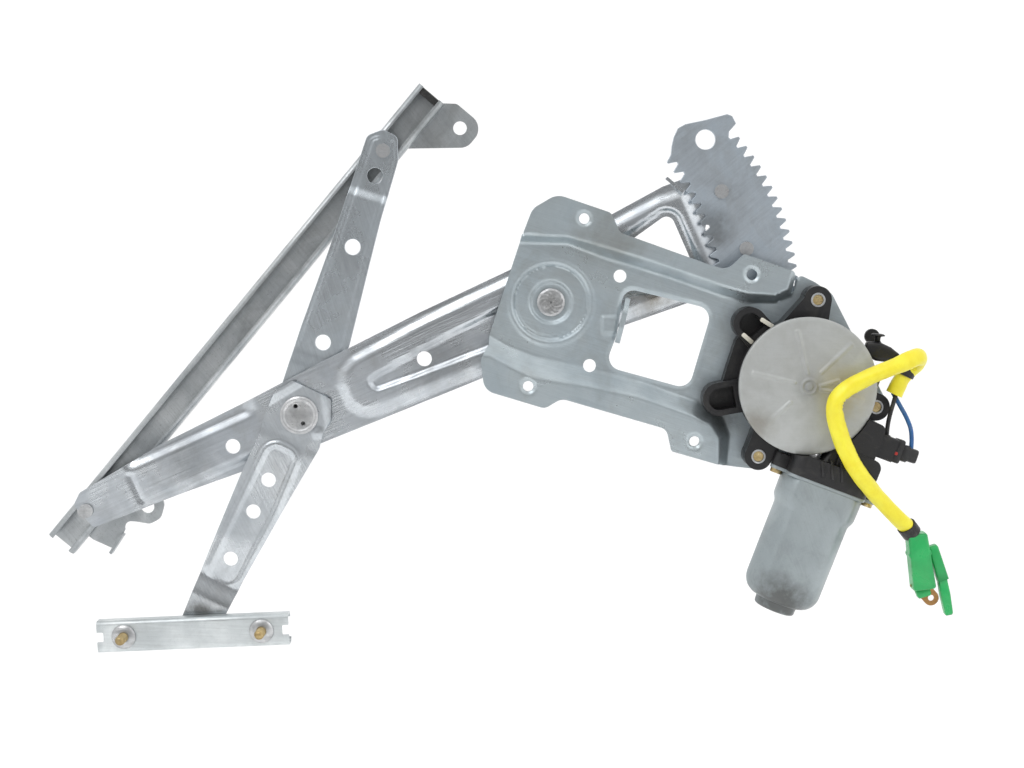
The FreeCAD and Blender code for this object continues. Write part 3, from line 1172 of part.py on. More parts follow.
doc.recompute()
for thing in doc.Objects:
    if {"Invalid", "Error"} & set(thing.State):
        raise ValueError("%s is %s" % (thing.Label, thing.State))
pieces = [thing for thing in doc.Objects
          if thing.TypeId in ("PartDesign::Body", "Part::Feature", "Part::Cylinder")]
for piece in pieces:
    if piece.Shape.isNull() or not piece.Shape.isValid() or not piece.Shape.Solids:
        raise ValueError(piece.Label + " has no valid solid")
os.makedirs("parts", exist_ok=True)
for piece in pieces:
    piece.Shape.exportStep("parts/%s.step" % piece.Label)
print("%d pieces" % len(pieces))
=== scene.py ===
# %% [markdown]
# # A cross-arm window regulator
# This is the mechanism that lifts the glass of a car door: a pressed base plate, a lifting arm
# with a toothed sector, a second pair of arms that crosses it, two rails, a gearbox with its
# motor and a short yellow loom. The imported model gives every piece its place. Here the pressed
# sheets, the cover, the can and the loom get their real surfaces, and everything gets a finish.

# %% Load the frame
import math
import bmesh
import bpy
import numpy as np
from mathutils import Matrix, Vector
from mathutils.geometry import delaunay_2d_cdt


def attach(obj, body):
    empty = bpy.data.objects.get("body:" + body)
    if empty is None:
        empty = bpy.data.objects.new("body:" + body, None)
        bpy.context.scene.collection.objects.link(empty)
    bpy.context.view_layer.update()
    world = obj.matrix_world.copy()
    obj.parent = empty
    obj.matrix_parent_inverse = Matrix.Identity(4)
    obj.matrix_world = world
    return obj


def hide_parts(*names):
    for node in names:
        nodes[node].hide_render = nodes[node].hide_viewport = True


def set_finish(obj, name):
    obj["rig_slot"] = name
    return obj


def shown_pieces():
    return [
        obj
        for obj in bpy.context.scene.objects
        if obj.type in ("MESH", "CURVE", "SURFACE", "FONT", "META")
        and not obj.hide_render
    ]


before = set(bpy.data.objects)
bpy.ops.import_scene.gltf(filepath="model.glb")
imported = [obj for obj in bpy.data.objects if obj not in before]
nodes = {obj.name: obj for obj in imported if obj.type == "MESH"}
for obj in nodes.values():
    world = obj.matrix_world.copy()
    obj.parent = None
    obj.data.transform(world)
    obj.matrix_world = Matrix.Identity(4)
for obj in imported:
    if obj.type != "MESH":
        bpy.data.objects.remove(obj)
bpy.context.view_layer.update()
collection = bpy.context.scene.collection
MM = 0.001
print("nodes:", len(nodes))

# %% [markdown]
# Two small helpers serve the whole script: one adds an object to the scene, the other tells the
# frame what a piece is. Each piece rides on a body of the model and has a slot, which names its
# finish; some stand for a node of the model, whose own mesh is then hidden.

# %% Two helpers
def added(name, data):
    """A new object for a mesh, a curve, a lamp or a lens, linked into the scene."""
    made = bpy.data.objects.new(name, data)
    collection.objects.link(made)
    return made


def dress(piece, body, slot, node=None):
    """Tells the frame which body a piece rides on and its slot, and hides the node it stands for.
    """
    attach(piece, body)
    if node:
        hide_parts(node)
    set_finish(piece, slot)


# %% [markdown]
# ## Camera
# A long lens keeps the arms nearly parallel, as in a product picture. The camera stands a metre
# in front of the plate and looks down by five degrees, which shows a little of the upper edges.

# %% Camera
lens = bpy.data.cameras.new("camera")
lens.lens = 58.6
lens.sensor_width = 36
camera = added("camera", lens)
camera.location = (-0.0768, -1.0, 0.0554)
camera.rotation_euler = (math.radians(85), 0, 0)
bpy.context.scene.camera = camera
print("camera:", lens.lens, "mm lens")

# %% [markdown]
# ## Loom
# A soft vinyl sleeve leaves the clip, folds over towards the viewer and hangs down to a green
# connector. Two thin wires run from the plug into its short end. Each follows a smooth NURBS
# curve, which bends the way a flexible tube does, and its points steer it along the route.

# %% Routes of the loom, in metres
SLEEVE_ROUTE = [
    (0.1505, -0.012, -0.037), (0.1545, -0.0125, -0.028), (0.1590, -0.0132, -0.0222),
    (0.1630, -0.0190, -0.0172), (0.1612, -0.0292, -0.0127), (0.1526, -0.0366, -0.0155),
    (0.1430, -0.0366, -0.0198), (0.1338, -0.0358, -0.0232), (0.1240, -0.0355, -0.0280),
    (0.1150, -0.0355, -0.0332), (0.1104, -0.0355, -0.0402), (0.1116, -0.0355, -0.0502),
    (0.1150, -0.0355, -0.0617), (0.1206, -0.0350, -0.0737), (0.1306, -0.0340, -0.0880),
    (0.1435, -0.0285, -0.1025), (0.157, -0.022, -0.1145),
]
BLUE_ROUTE = [
    (0.161, -0.014, -0.0698), (0.1616, -0.0144, -0.0605), (0.158, -0.0146, -0.051),
    (0.1534, -0.0136, -0.043), (0.1503, -0.0104, -0.0364),
]
BLACK_ROUTE = [
    (0.1462, -0.014, -0.0626), (0.1464, -0.0148, -0.056), (0.1476, -0.015, -0.0496),
    (0.1494, -0.0146, -0.0434), (0.1516, -0.0136, -0.0364),
]


def route_curve(name, route, radius=0.0):
    """One open NURBS spline of order 3 that has the route's points as its control points."""
    curve = bpy.data.curves.new(name, "CURVE")
    curve.dimensions = "3D"
    curve.resolution_u = 14
    spline = curve.splines.new("NURBS")
    spline.points.add(len(route) - 1)
    spline.points.foreach_set("co", np.c_[np.array(route), np.ones(len(route))].ravel())
    spline.points.foreach_set("radius", np.full(len(route), radius))
    spline.order_u = 3
    spline.use_endpoint_u = True
    curve.bevel_depth = 1.0 if radius else 0.0
    curve.bevel_resolution = 8
    curve.use_fill_caps = True
    return added(name, curve)


WIRE_RADIUS = 0.0013
blue_wire = route_curve("loom_wire_blue", BLUE_ROUTE, WIRE_RADIUS)
dark_wire = route_curve("loom_wire_dark", BLACK_ROUTE, WIRE_RADIUS)
print("wires:", blue_wire.name, dark_wire.name)

# %% [markdown]
# A mesh tube could be bevelled from the curve too, but a soft sleeve is not round: it flattens
# and creases where it bends. So its rings are worked out along the curve, and the curvature at
# each ring decides how flat it is and how deep the small folds on the inner side are.

# %% A mesh from a grid of points
TOUCHING = 1e-6


def full_turn(count):
    """Even angles round a circle, in radians."""
    return np.linspace(0, 2 * np.pi, count, endpoint=False)


def quads(rows, columns, around=False):
    """Corner numbers of the faces between the points of a grid, row after row."""
    across = columns if around else columns - 1
    i, j = np.meshgrid(np.arange(rows - 1), np.arange(across), indexing="ij")
    k = (j + 1) % columns
    corners = (i * columns + j, i * columns + k, (i + 1) * columns + k, (i + 1) * columns + j)
    return np.stack(corners, -1).reshape(-1, 4)


def mesh_piece(name, points, faces, merge=0.0):
    """A smooth-shaded object from points in metres; merge joins points nearer than that."""
    mesh = bpy.data.meshes.new(name)
    mesh.from_pydata(points.tolist(), [], faces.tolist())
    if merge:
        work = bmesh.new()
        work.from_mesh(mesh)
        bmesh.ops.remove_doubles(work, verts=work.verts, dist=merge)
        bmesh.ops.recalc_face_normals(work, faces=work.faces)
        work.to_mesh(mesh)
        work.free()
    mesh.polygons.foreach_set("use_smooth", np.ones(len(mesh.polygons), bool))
    mesh.update()
    return added(name, mesh)


def ringed_piece(name, rings):
    """A skin over rings of points in mm; a ring with all its points in one place closes it."""
    return mesh_piece(name, rings.reshape(-1, 3) * MM, quads(*rings.shape[:2], around=True),
                      merge=TOUCHING)


def unit(vectors):
    return vectors / np.maximum(np.linalg.norm(vectors, axis=-1, keepdims=True), 1e-12)


# %% The sleeve, ring by ring
SLEEVE_RADIUS = 0.005
guide = route_curve("guide", SLEEVE_ROUTE)
guide_mesh = bpy.data.meshes.new_from_object(guide)
line = np.empty(len(guide_mesh.vertices) * 3)
guide_mesh.vertices.foreach_get("co", line)
line = line.reshape(-1, 3)
bpy.data.objects.remove(guide)
bpy.data.meshes.remove(guide_mesh)


def carried_side(tangent, first):
    """A side direction carried along a path without twist: at each ring the last one is
    laid back across the new tangent."""
    sides = [unit(first - tangent[0] * (first @ tangent[0]))]
    for direction in tangent[1:]:
        sides.append(unit(sides[-1] - direction * (sides[-1] @ direction)))
    return np.array(sides)


def soft_tube(path, radius, around=72):
    """Rings round a path. The radius is the sleeve's, less a flattening towards the bend's
    inner side that grows with curvature, less fine folds there, plus a slow unevenness."""
    travel = np.r_[0, np.cumsum(np.linalg.norm(np.diff(path, axis=0), axis=1))]
    even = np.linspace(0, travel[-1], 420)
    path = np.stack([np.interp(even, travel, path[:, k]) for k in range(3)], 1)
    tangent = unit(np.gradient(path, even, axis=0))
    bend = np.gradient(tangent, even, axis=0)
    window = np.hanning(31)[:, None] / np.hanning(31).sum()
    padded = np.pad(bend, ((15, 15), (0, 0)), "edge")
    bend = np.stack([np.convolve(padded[:, k], window[:, 0], "valid") for k in range(3)], 1)
    tight = np.clip(np.linalg.norm(bend, axis=1) * radius, 0, 0.6)[:, None]
    side = carried_side(tangent, np.array([0.3, 0.9, 0.2]))
    up = np.cross(tangent, side)
    turn = full_turn(around)
    ray = side[:, None] * np.cos(turn)[None, :, None] + up[:, None] * np.sin(turn)[None, :, None]
    inner = (ray * unit(bend)[:, None]).sum(2)
    s = even[:, None]
    flat = 1 - 0.62 * tight * (inner ** 2 - 0.5)
    wander = 2.4 * np.sin(2 * np.pi * s / 0.019) + 1.5 * turn[None]
    folds = 0.2 * tight * np.clip(inner, 0, 1) ** 2 * (1 + np.sin(2 * np.pi * s / 0.0042 + wander))
    crease = 0.12 * np.exp(-((turn[None] - 2.6 - 6 * s) / 0.22) ** 2)
    crease = crease * np.clip(np.sin(np.pi * s / travel[-1]), 0, 1)
    slow = 0.06 * np.sin(2 * turn[None] + 55 * s) + 0.03 * np.sin(3 * turn[None] - 140 * s)
    slow = slow + 0.02 * np.sin(5 * turn[None] + 420 * s) * np.sin(90 * s)
    reach = radius * (flat - folds - crease + slow)
    rings = path[:, None] + ray * reach[..., None]
    mouth, bore = 14, 0.80 * radius
    deep, lip = path[mouth], path[0]
    inside = [deep + 0 * ray[0], deep + ray[mouth] * bore, lip + ray[0] * bore]
    rings = np.concatenate([inside, rings, [path[-1] + 0 * ray[-1]]])
    return rings, path


rings, sleeve_path = soft_tube(line, SLEEVE_RADIUS)
yellow = mesh_piece("loom_sleeve", rings.reshape(-1, 3),
                    quads(*rings.shape[:2], around=True), merge=TOUCHING)

# %% [markdown]
# ## Plug, connector and clip
# Moulded housings are boxes with soft corners whose width changes along their length. Each one
# is a row of rings round a line: a ring is a circle whose cosine and sine are raised to a small
# power, which swells it towards a rectangle. The stations give the half sizes along the line.

# %% Soft boxes along a line
def soft_box(name, start, end, face, stations, power=0.34, around=64):
    """Rings between two points in mm. Stations are (share of the length, half width, half
    height); face is the direction of the height. A smaller power makes squarer corners."""
    start, end = np.array(start, float), np.array(end, float)
    axis = unit(end - start)
    up = unit(np.array(face, float) - axis * (np.array(face, float) @ axis))
    side = np.cross(axis, up)
    table = np.array(stations, float)
    table = np.concatenate([table[:1] * [1, 0, 0], table, table[-1:] * [1, 0, 0]])
    turn = full_turn(around)
    wide = np.sign(np.cos(turn)) * np.abs(np.cos(turn)) ** power
    tall = np.sign(np.sin(turn)) * np.abs(np.sin(turn)) ** power
    return ringed_piece(name, start + table[:, None, :1] * (end - start)
                        + table[:, None, 1:2] * wide[:, None] * side
                        + table[:, None, 2:] * tall[:, None] * up)


# %% Plug, connector, lever and clip
TO_VIEWER = (0, -1, 0)
SOFT_BOXES = [
    ("plug_body", "motor_plug", "black_plastic", (141.5, -14.2, -67), (155, -14.2, -71.6),
     [(0, 6.6, 3.4), (0.04, 7.2, 4.0), (0.3, 7.4, 4.2), (0.34, 6.8, 3.8), (0.62, 6.6, 3.8),
      (0.66, 7.2, 4.1), (0.96, 7.2, 4.1), (1, 6.7, 3.7)], 0.34),
    ("plug_barrel", None, "black_plastic", (153, -14.2, -71), (164.2, -14.0, -74.6),
     [(0, 5.0, 3.8), (0.5, 5.1, 3.9), (0.55, 4.2, 3.2), (0.93, 4.2, 3.2), (1, 3.8, 2.8)], 0.6),
    ("plug_mark", "plug_lock", "red_plastic", (148.6, -17.9, -71.1), (152.0, -17.9, -72.2),
     [(0, 0.7, 0.7), (0.1, 1.0, 1.0), (0.9, 1.0, 1.0), (1, 0.7, 0.7)], 0.5),
    ("connector_body", "harness_connector", "green_plastic", (163.6, -19.4, -119.6),
     (168.6, -19.4, -152.6),
     [(0, 5.2, 5.6), (0.03, 5.8, 6.2), (0.3, 6.2, 6.4), (0.34, 6.9, 6.4), (0.37, 6.9, 6.4),
      (0.41, 6.3, 6.4), (0.97, 6.9, 6.4), (1, 6.3, 5.8)], 0.3),
    ("connector_nose", None, "green_plastic", (167.4, -19.4, -151.4), (169.4, -19.4, -157.6),
     [(0, 4.6, 3.2), (0.85, 4.2, 3.0), (1, 3.6, 2.4)], 0.35),
    ("lever_arm", "connector_lever", "green_plastic", (173.4, -19.0, -127.0),
     (180.2, -19.0, -147.5),
     [(0, 2.4, 2.8), (0.06, 3.0, 3.4), (0.5, 3.2, 3.4), (1, 3.4, 3.4)], 0.4),
    ("lever_end", None, "green_plastic", (179.2, -19.0, -144.5), (184.2, -19.0, -168.6),
     [(0, 2.6, 3.3), (0.5, 3.0, 3.4), (0.95, 2.5, 3.2), (1, 2.0, 2.6)], 0.4),
    ("clip_wedge", "harness_bracket", "black_plastic", (133.2, -9.5, -9.6), (153.2, -9.5, -15.4),
     [(0, 3.4, 2.6), (0.04, 4.4, 3.2), (0.4, 5.6, 3.4), (0.7, 4.6, 3.2), (0.96, 2.4, 2.6),
      (1, 1.8, 2.0)], 0.45),
]
for label, node, slot, start, end, stations, power in SOFT_BOXES:
    dress(soft_box(label, start, end, TO_VIEWER, stations, power), "plate", slot, node)
print("soft boxes:", len(SOFT_BOXES))

# %% The loom's declaration
for piece, node, slot in ((yellow, "yellow_sleeve", "yellow_vinyl"),
                          (blue_wire, "wire_blue", "blue_wire"),
                          (dark_wire, "wire_black", "black_wire")):
    dress(piece, "plate", slot, node)
print("loom:", yellow.name, blue_wire.name, dark_wire.name)

# %% [markdown]
# ## Pressed sheets
# The plate and the arms are stamped from flat sheet and then pressed. Lofted blocks would give
# hard folds, so each one is a height field: a rounded outline filled with a fine net of points,
# each pushed back by a height that depends on its distance from the fold lines. Solidify gives
# the sheet its gauge and a small bevel breaks its cut edges.

# %% Outlines and distances
def heading(degrees):
    """The unit direction at an angle above the horizontal."""
    return np.array([math.cos(math.radians(degrees)), math.sin(math.radians(degrees))])


def rounded(corners, steps=9):
    """Corners given as (across, up, radius) become arcs that touch both edges. Each arc is a
    rational quadratic whose middle weight is the sine of half the corner's angle."""
    table = np.array(corners, float)
    points, radius = table[:, :2], table[:, 2]
    back, ahead = np.roll(points, 1, 0) - points, np.roll(points, -1, 0) - points
    shorter = np.minimum(np.linalg.norm(back, axis=1), np.linalg.norm(ahead, axis=1))
    back, ahead = unit(back), unit(ahead)
    half = np.arccos(np.clip((back * ahead).sum(1), -1, 1)) / 2
    reach = np.minimum(radius / np.tan(half), 0.49 * shorter)[:, None, None]
    t, weight = np.linspace(0, 1, steps)[None, :, None], np.sin(half)[:, None, None]
    corner, middle = points[:, None], 2 * t * (1 - t) * weight
    start, end = corner + back[:, None] * reach, corner + ahead[:, None] * reach
    arc = (1 - t) ** 2 * start + middle * corner + t ** 2 * end
    return (arc / ((1 - t) ** 2 + middle + t ** 2)).reshape(-1, 2)


def round_hole(across, up, radius, count=40):
    turn = full_turn(count)
    return np.stack([across + radius * np.cos(turn), up + radius * np.sin(turn)], 1)


# %% Distances to an outline
def nearest(points, start, end):
    """Distance from each point to the nearest of some line pieces."""
    result = np.empty(len(points))
    edge = (end - start)[None]
    squared = np.maximum((edge ** 2).sum(2), 1e-12)
    for first in range(0, len(points), 4000):
        p = points[first:first + 4000, None]
        t = np.clip(((p - start) * edge).sum(2) / squared, 0, 1)
        gap = p - start - t[..., None] * edge
        result[first:first + 4000] = np.sqrt((gap ** 2).sum(2)).min(1)
    return result


def depth(points, loop):
    """Distance to a closed outline, positive inside it. Inside means that a ray to the right
    crosses the outline an odd number of times."""
    start, end = loop, np.roll(loop, -1, 0)
    p = points[:, None]
    above, below = start[:, 1] > p[..., 1], end[:, 1] > p[..., 1]
    rise = np.where(end[:, 1] == start[:, 1], 1, end[:, 1] - start[:, 1])
    reach = start[:, 0] + (p[..., 1] - start[:, 1]) * (end - start)[:, 0] / rise
    odd = ((above != below) & (p[..., 0] < reach)).sum(1) % 2
    return np.where(odd, 1, -1) * nearest(points, start, end)


# %% Blends
def smooth(t):
    """Zero below 0, one above 1, and the S curve 3t2 - 2t3 between."""
    t = np.clip(t, 0, 1)
    return t * t * (3 - 2 * t)


def eased(t, share=0.2):
    """Zero below 0, one above 1 and a straight rise between; a parabola rounds each end."""
    t = np.clip(t, 0, 1)
    low, high = np.minimum(t, share), np.maximum(t - (1 - share), 0)
    middle = np.clip(t - share, 0, 1 - 2 * share)
    return (low ** 2 / (2 * share) + middle + high - high ** 2 / (2 * share)) / (1 - share)


def spaced(loop, pitch):
    """The outline with its long edges divided, so that no two points are far apart."""
    end = np.roll(loop, -1, 0)
    parts = np.maximum(np.ceil(np.linalg.norm(end - loop, axis=1) / pitch), 1).astype(int)
    where = np.repeat(np.arange(len(loop)), parts)
    step = np.concatenate([np.arange(n) / n for n in parts])[:, None]
    points = loop[where] + (end - loop)[where] * step
    keep = np.linalg.norm(points - np.roll(points, 1, 0), axis=1) > 0.02
    return points[keep]


# %% Where a sheet lies and how its edges end
FLAT = (np.array([0, 0, 0]), np.array([1, 0, 0]), np.array([0, 0, 1]), np.array([0, 1, 0]))


def leaning(x, z, degrees):
    """The frame of an arm: origin, along it, across it, and away from the viewer."""
    c, s = heading(degrees)
    return (np.array([x, 0, z]), np.array([c, 0, s]), np.array([-s, 0, c]), np.array([0, 1, 0]))


SHEET_CORNER, SOLID_CORNER = 55, 38


def break_edges(piece, width, degrees):
    """A bevel in two steps, its width in mm, on the edges that turn by more than an angle."""
    soft = piece.modifiers.new("broken_edges", "BEVEL")
    soft.width = width * MM
    soft.segments = 2
    soft.limit_method = "ANGLE"
    soft.angle_limit = math.radians(degrees)
    return soft


def finish_edges(piece, thickness, bevel):
    """Gives a sheet its gauge, backwards from its front face, and breaks its cut edges."""
    wall = piece.modifiers.new("gauge", "SOLIDIFY")
    wall.thickness = thickness * MM
    wall.offset = -1
    break_edges(piece, bevel, SHEET_CORNER).harden_normals = True
    return piece


# %% A net of triangles inside outlines
def netted(cloud, edges, outers, holes):
    """Joins points into triangles that keep the given edges, and leaves out each triangle
    whose middle is outside every outline or inside a hole."""
    net = delaunay_2d_cdt(cloud.tolist(), edges.tolist(), [], 0, 1e-5)
    flat, faces = np.array([tuple(v) for v in net[0]]), np.array(net[2])
    middle = flat[faces].mean(1)
    kept = np.max([depth(middle, loop) for loop in outers], 0) > 0
    for hole in holes:
        kept &= depth(middle, hole) < 0
    used, faces = np.unique(faces[kept], return_inverse=True)
    return flat[used], faces.reshape(-1, 3)


def ring_edges(loops):
    """The numbered edges of closed outlines whose points follow each other in one list."""
    first = np.cumsum([0] + [len(loop) for loop in loops])
    return np.concatenate([np.stack([first[k] + np.arange(len(loop)),
                                     first[k] + np.roll(np.arange(len(loop)), -1)], 1)
                           for k, loop in enumerate(loops)])


def outer_edges(loops):
    """Overlapping outlines as one: fill them all, and keep the edges of only one triangle."""
    flat, faces = netted(np.concatenate(loops), ring_edges(loops), loops, [])
    sides = np.sort(np.concatenate([faces[:, [0, 1]], faces[:, [1, 2]], faces[:, [2, 0]]]), 1)
    sides, count = np.unique(sides, axis=0, return_counts=True)
    used, edges = np.unique(sides[count == 1], return_inverse=True)
    return flat[used], edges.reshape(-1, 2)


# %% A sheet from outlines and a height
def pressed(name, outers, holes, height, thickness, pitch=1.3, place=FLAT, bevel=0.3):
    """A sheet whose net is its outer edge, its holes and a square grid between them, joined
    into triangles; the height of a point is worked out from its place in the flat."""
    outers, holes = [spaced(loop, pitch) for loop in outers], [spaced(h, pitch) for h in holes]
    rim, rim_edges = outer_edges(outers)
    cloud = np.concatenate([rim] + holes)
    edges = rim_edges
    if holes:
        edges = np.concatenate([rim_edges, len(rim) + ring_edges(holes)])
    (low_u, low_v), (high_u, high_v) = rim.min(0), rim.max(0)
    grid = np.stack(np.meshgrid(np.arange(low_u, high_u, pitch),
                                np.arange(low_v, high_v, pitch)), -1).reshape(-1, 2)
    grid = grid[nearest(grid, cloud[edges[:, 0]], cloud[edges[:, 1]]) > 0.55 * pitch]
    grid = grid[np.max([depth(grid, loop) for loop in outers], 0) > 0]
    for hole in holes:
        grid = grid[depth(grid, hole) < 0]
    flat, faces = netted(np.concatenate([cloud, grid]), edges, outers, holes)
    origin, along, across, away = place
    points = (origin + flat[:, :1] * along + flat[:, 1:] * across
              + height(flat[:, 0], flat[:, 1])[:, None] * away)
    piece = mesh_piece(name, points * MM, faces)
    print(name, len(faces), "faces")
    return finish_edges(piece, thickness, bevel)


# %% [markdown]
# ## Base plate
# The plate lies on the door with two flanges, and its web is pressed back by eight millimetres
# between them. Each fold has two lines: where the flange ends and where the web begins. The
# height between them is a blend of the distances to both. A shallow dish in two steps sinks
# round the main pivot, and the window has a lip that is drawn back a little.

# %% Base plate, outlines of its web, its flanges and its window
WEB = [
    (-70.8, 56.7, 1), (-44, 57, 20), (93, 22, 2), (96, 33.8, 3), (106, 29, 8), (116.5, 22, 8),
    (150.5, -43, 7), (146, -54.5, 7), (72, -84.8, 8), (58, -83.2, 4), (51, -82, 2),
    (30, -62, 3), (-45, -34, 3), (-60, -34, 3), (-86, -18, 3), (-90.8, -9.5, 1), (-90.4, -2.5, 6),
]
UPPER_FLANGE = [
    (-70.8, 56.7, 2), (-64.5, 73, 10), (-50, 81.5, 11), (-17.5, 70.5, 5), (-12.3, 58.8, 5),
    (41, 39.8, 9), (52, 36.6, 8), (62.3, 46, 2), (94.3, 34.9, 4), (91, 19.5, 7),
    (68, 19.2, 30), (-44, 57, 20),
]
LOWER_FLANGE = [
    (-90.5, -7.5, 2), (-95.6, -17, 6), (-93.5, -36, 9), (-57, -47, 6), (-47, -41, 8),
    (16.5, -59.5, 6), (19.5, -72.9, 2), (51, -82, 5), (56.5, -72, 5), (48.5, -59, 9),
    (-73, -22, 14),
]
WINDOW = [(-9, 25.5, 7), (44.5, 12.5, 8), (30.5, -36, 8), (-20.5, -22, 8), (-13.5, -3.5, 14)]

# %% Base plate, holes, dish and folds
PIVOT = np.array([-53.2, 16.7])
GEAR_CENTRES = 158.625
PINION = PIVOT + GEAR_CENTRES * heading(-17.73)
BOLT_CIRCLE, BOLT_HOLE = 75, 3.2
BOLT_TURN = np.radians(26.6 + 90 * np.arange(4))
BOLTS = BOLT_CIRCLE * np.stack([np.cos(BOLT_TURN), np.sin(BOLT_TURN)], 1)
EARS = PINION + np.array([(7.4, 50.4), (43.1, -13.6), (-26.9, -43.4)])
WEB_DEPTH, PLATE_GAUGE = 8, 1.6
DISH = ((21, 2.6, 1.62), (11.2, 2.4, 1.98))  # each step's radius, run and depth
DISH_RINGS = ((25, 1.2, -0.5), (21.9, 0.8, 0.6))  # each ring's radius, breadth and height
UPPER_FLAT = np.array([
    (-110, 60), (-70.3, 58.1), (-43.1, 56.5), (-15.9, 49.4), (16.3, 39), (48.4, 27.8),
    (64.5, 23), (80.6, 21.4), (88.5, 25), (92, 40), (80, 110), (-110, 110)])
LOWER_FLAT = np.array([
    (-120, -14), (-90.4, -16), (-65.4, -29.5), (-31.6, -34.4), (0.8, -41.3), (32.1, -52.4),
    (42.3, -58.2), (47.2, -65.3), (47.5, -78), (44, -120), (-120, -120)])
WEB_FLAT = np.array([
    (-120, 55), (-70.3, 52.5), (-42.8, 51.7), (-23.4, 43.7), (17.1, 31.6), (49.5, 20.3),
    (65.8, 16.2), (81.9, 16.5), (92.4, 20.5), (97, 32), (99, 60), (200, 60), (200, -120),
    (55, -120), (54.7, -77.6), (56.1, -63.6), (50.8, -49.5), (34.8, -42), (2, -30.5),
    (-30.5, -22), (-63, -14.6), (-79, -9), (-90, -2), (-120, 4)])

# %% Base plate, height
def distance_from(u, v, place):
    """Distance from each point of a sheet to one place."""
    return np.hypot(u - place[0], v - place[1])


def outside_of(points, loop):
    """Distance to a closed outline, zero inside it."""
    return np.maximum(-depth(points, loop), 0)


def plate_height(u, v):
    """Zero on a flange, eight on the web and an eased slope across each fold; then the dish
    round the pivot, the drawn mouths of the bolt holes, the window's lip and the raised saddle."""
    points = np.stack([u, v], 1)
    flange = np.minimum(outside_of(points, UPPER_FLAT), outside_of(points, LOWER_FLAT))
    web = outside_of(points, WEB_FLAT)
    y = WEB_DEPTH * eased(flange / np.maximum(flange + web, 1e-6))
    pivot = distance_from(u, v, PIVOT)
    for radius, run, deep in DISH:
        y = y + deep * (1 - smooth((pivot - radius) / run))
    for radius, breadth, high in DISH_RINGS:
        y = y + high * np.exp(-((pivot - radius) / breadth) ** 2)
    for bolt in BOLTS:
        y = y + 1.1 * (1 - smooth((distance_from(u, v, bolt) - BOLT_HOLE) / 2))
    y = y + 0.8 * (1 - smooth(outside_of(points, rounded(WINDOW)) / 2.4))
    saddle = np.maximum(np.abs(u + 17), np.abs(v - 3))
    return y - 1.3 * (1 - smooth((saddle - 4.2) / 2.2))


plate = pressed(
    "pressed_plate", [rounded(WEB), rounded(UPPER_FLANGE), rounded(LOWER_FLANGE)],
    [rounded(WINDOW), round_hole(-11.6, 32.6, 3.9), round_hole(-29.8, -21.5, 3.9),
     round_hole(*PIVOT, 5.2), round_hole(*PINION, 14)]
    + [round_hole(*bolt, BOLT_HOLE) for bolt in BOLTS] + [round_hole(*ear, 3) for ear in EARS],
    plate_height, PLATE_GAUGE, pitch=1.15, bevel=0.35)
dress(plate, "plate", "plate_zinc", "base_plate")

# %% [markdown]
# The extruded collars behind the bolt holes and the little bent tab at the window's corner are
# separate surfaces. A collar is a profile carried round an axis; the tab is a narrow strip of
# sheet whose rows climb from the web and then run level past the window's corner.

# %% Turned profiles
def turned(name, profile, x, z, along=(0, 1, 0), origin_y=0.0, around=64):
    """A profile of (radius, height) pairs carried round an axis; equal end points at radius
    zero are merged, so that the middle is closed."""
    profile = np.array(profile, float)
    axis = np.array(along, float)
    side = unit(np.cross(axis, np.array([0.2, 0.1, 0.97])))
    up = np.cross(axis, side)
    turn = full_turn(around)
    ray = side * np.cos(turn)[:, None] + up * np.sin(turn)[:, None]
    return ringed_piece(name, np.array([x, origin_y, z]) + profile[:, None, 1:] * axis
                        + profile[:, None, :1] * ray[None])


def closed(profile):
    """A profile that ends where it starts, for a ring with a hole."""
    return list(profile) + [profile[0]]


for number, bolt in enumerate(BOLTS):
    collar = turned("bolt_collar_%d" % number,
                    closed([(3.25, 0.9), (3.25, 5.6), (4.5, 5.6), (4.8, 5.3), (4.8, 1.4)]), *bolt)
    dress(collar, "plate", "plate_zinc")
print("bolt collars:", len(BOLTS))

# %% Bent tab
tab_across, tab_along = np.meshgrid(np.linspace(-1.5, 1.5, 5), np.linspace(0, 1, 24))
tab_points = np.stack([
    -6.6 - 6.7 * tab_along + 0.97 * tab_across,
    8.6 - 5.0 * smooth(tab_along / 0.35) + 1.2 * smooth((tab_along - 0.6) / 0.4),
    19.2 - 26.8 * tab_along - 0.24 * tab_across], -1)
tab = mesh_piece("stop_tab", tab_points.reshape(-1, 3) * MM, quads(24, 5))
finish_edges(tab, 1.5, 0.25)
tab.modifiers["gauge"].offset = 0
dress(tab, "plate", "plate_zinc")
print("stop tab:", len(tab.data.vertices), "points")

# %% [markdown]
# ## Arms
# The lifting arm's root is raised inside its border and has a sunk panel, and its tip is
# stiffened by edges that fall back. The equalizer's two halves step forwards or backwards, so
# that they reach their rails. Each height is written in the arm's own frame, along it and across
# it, and the frame then lays the sheet in its place.

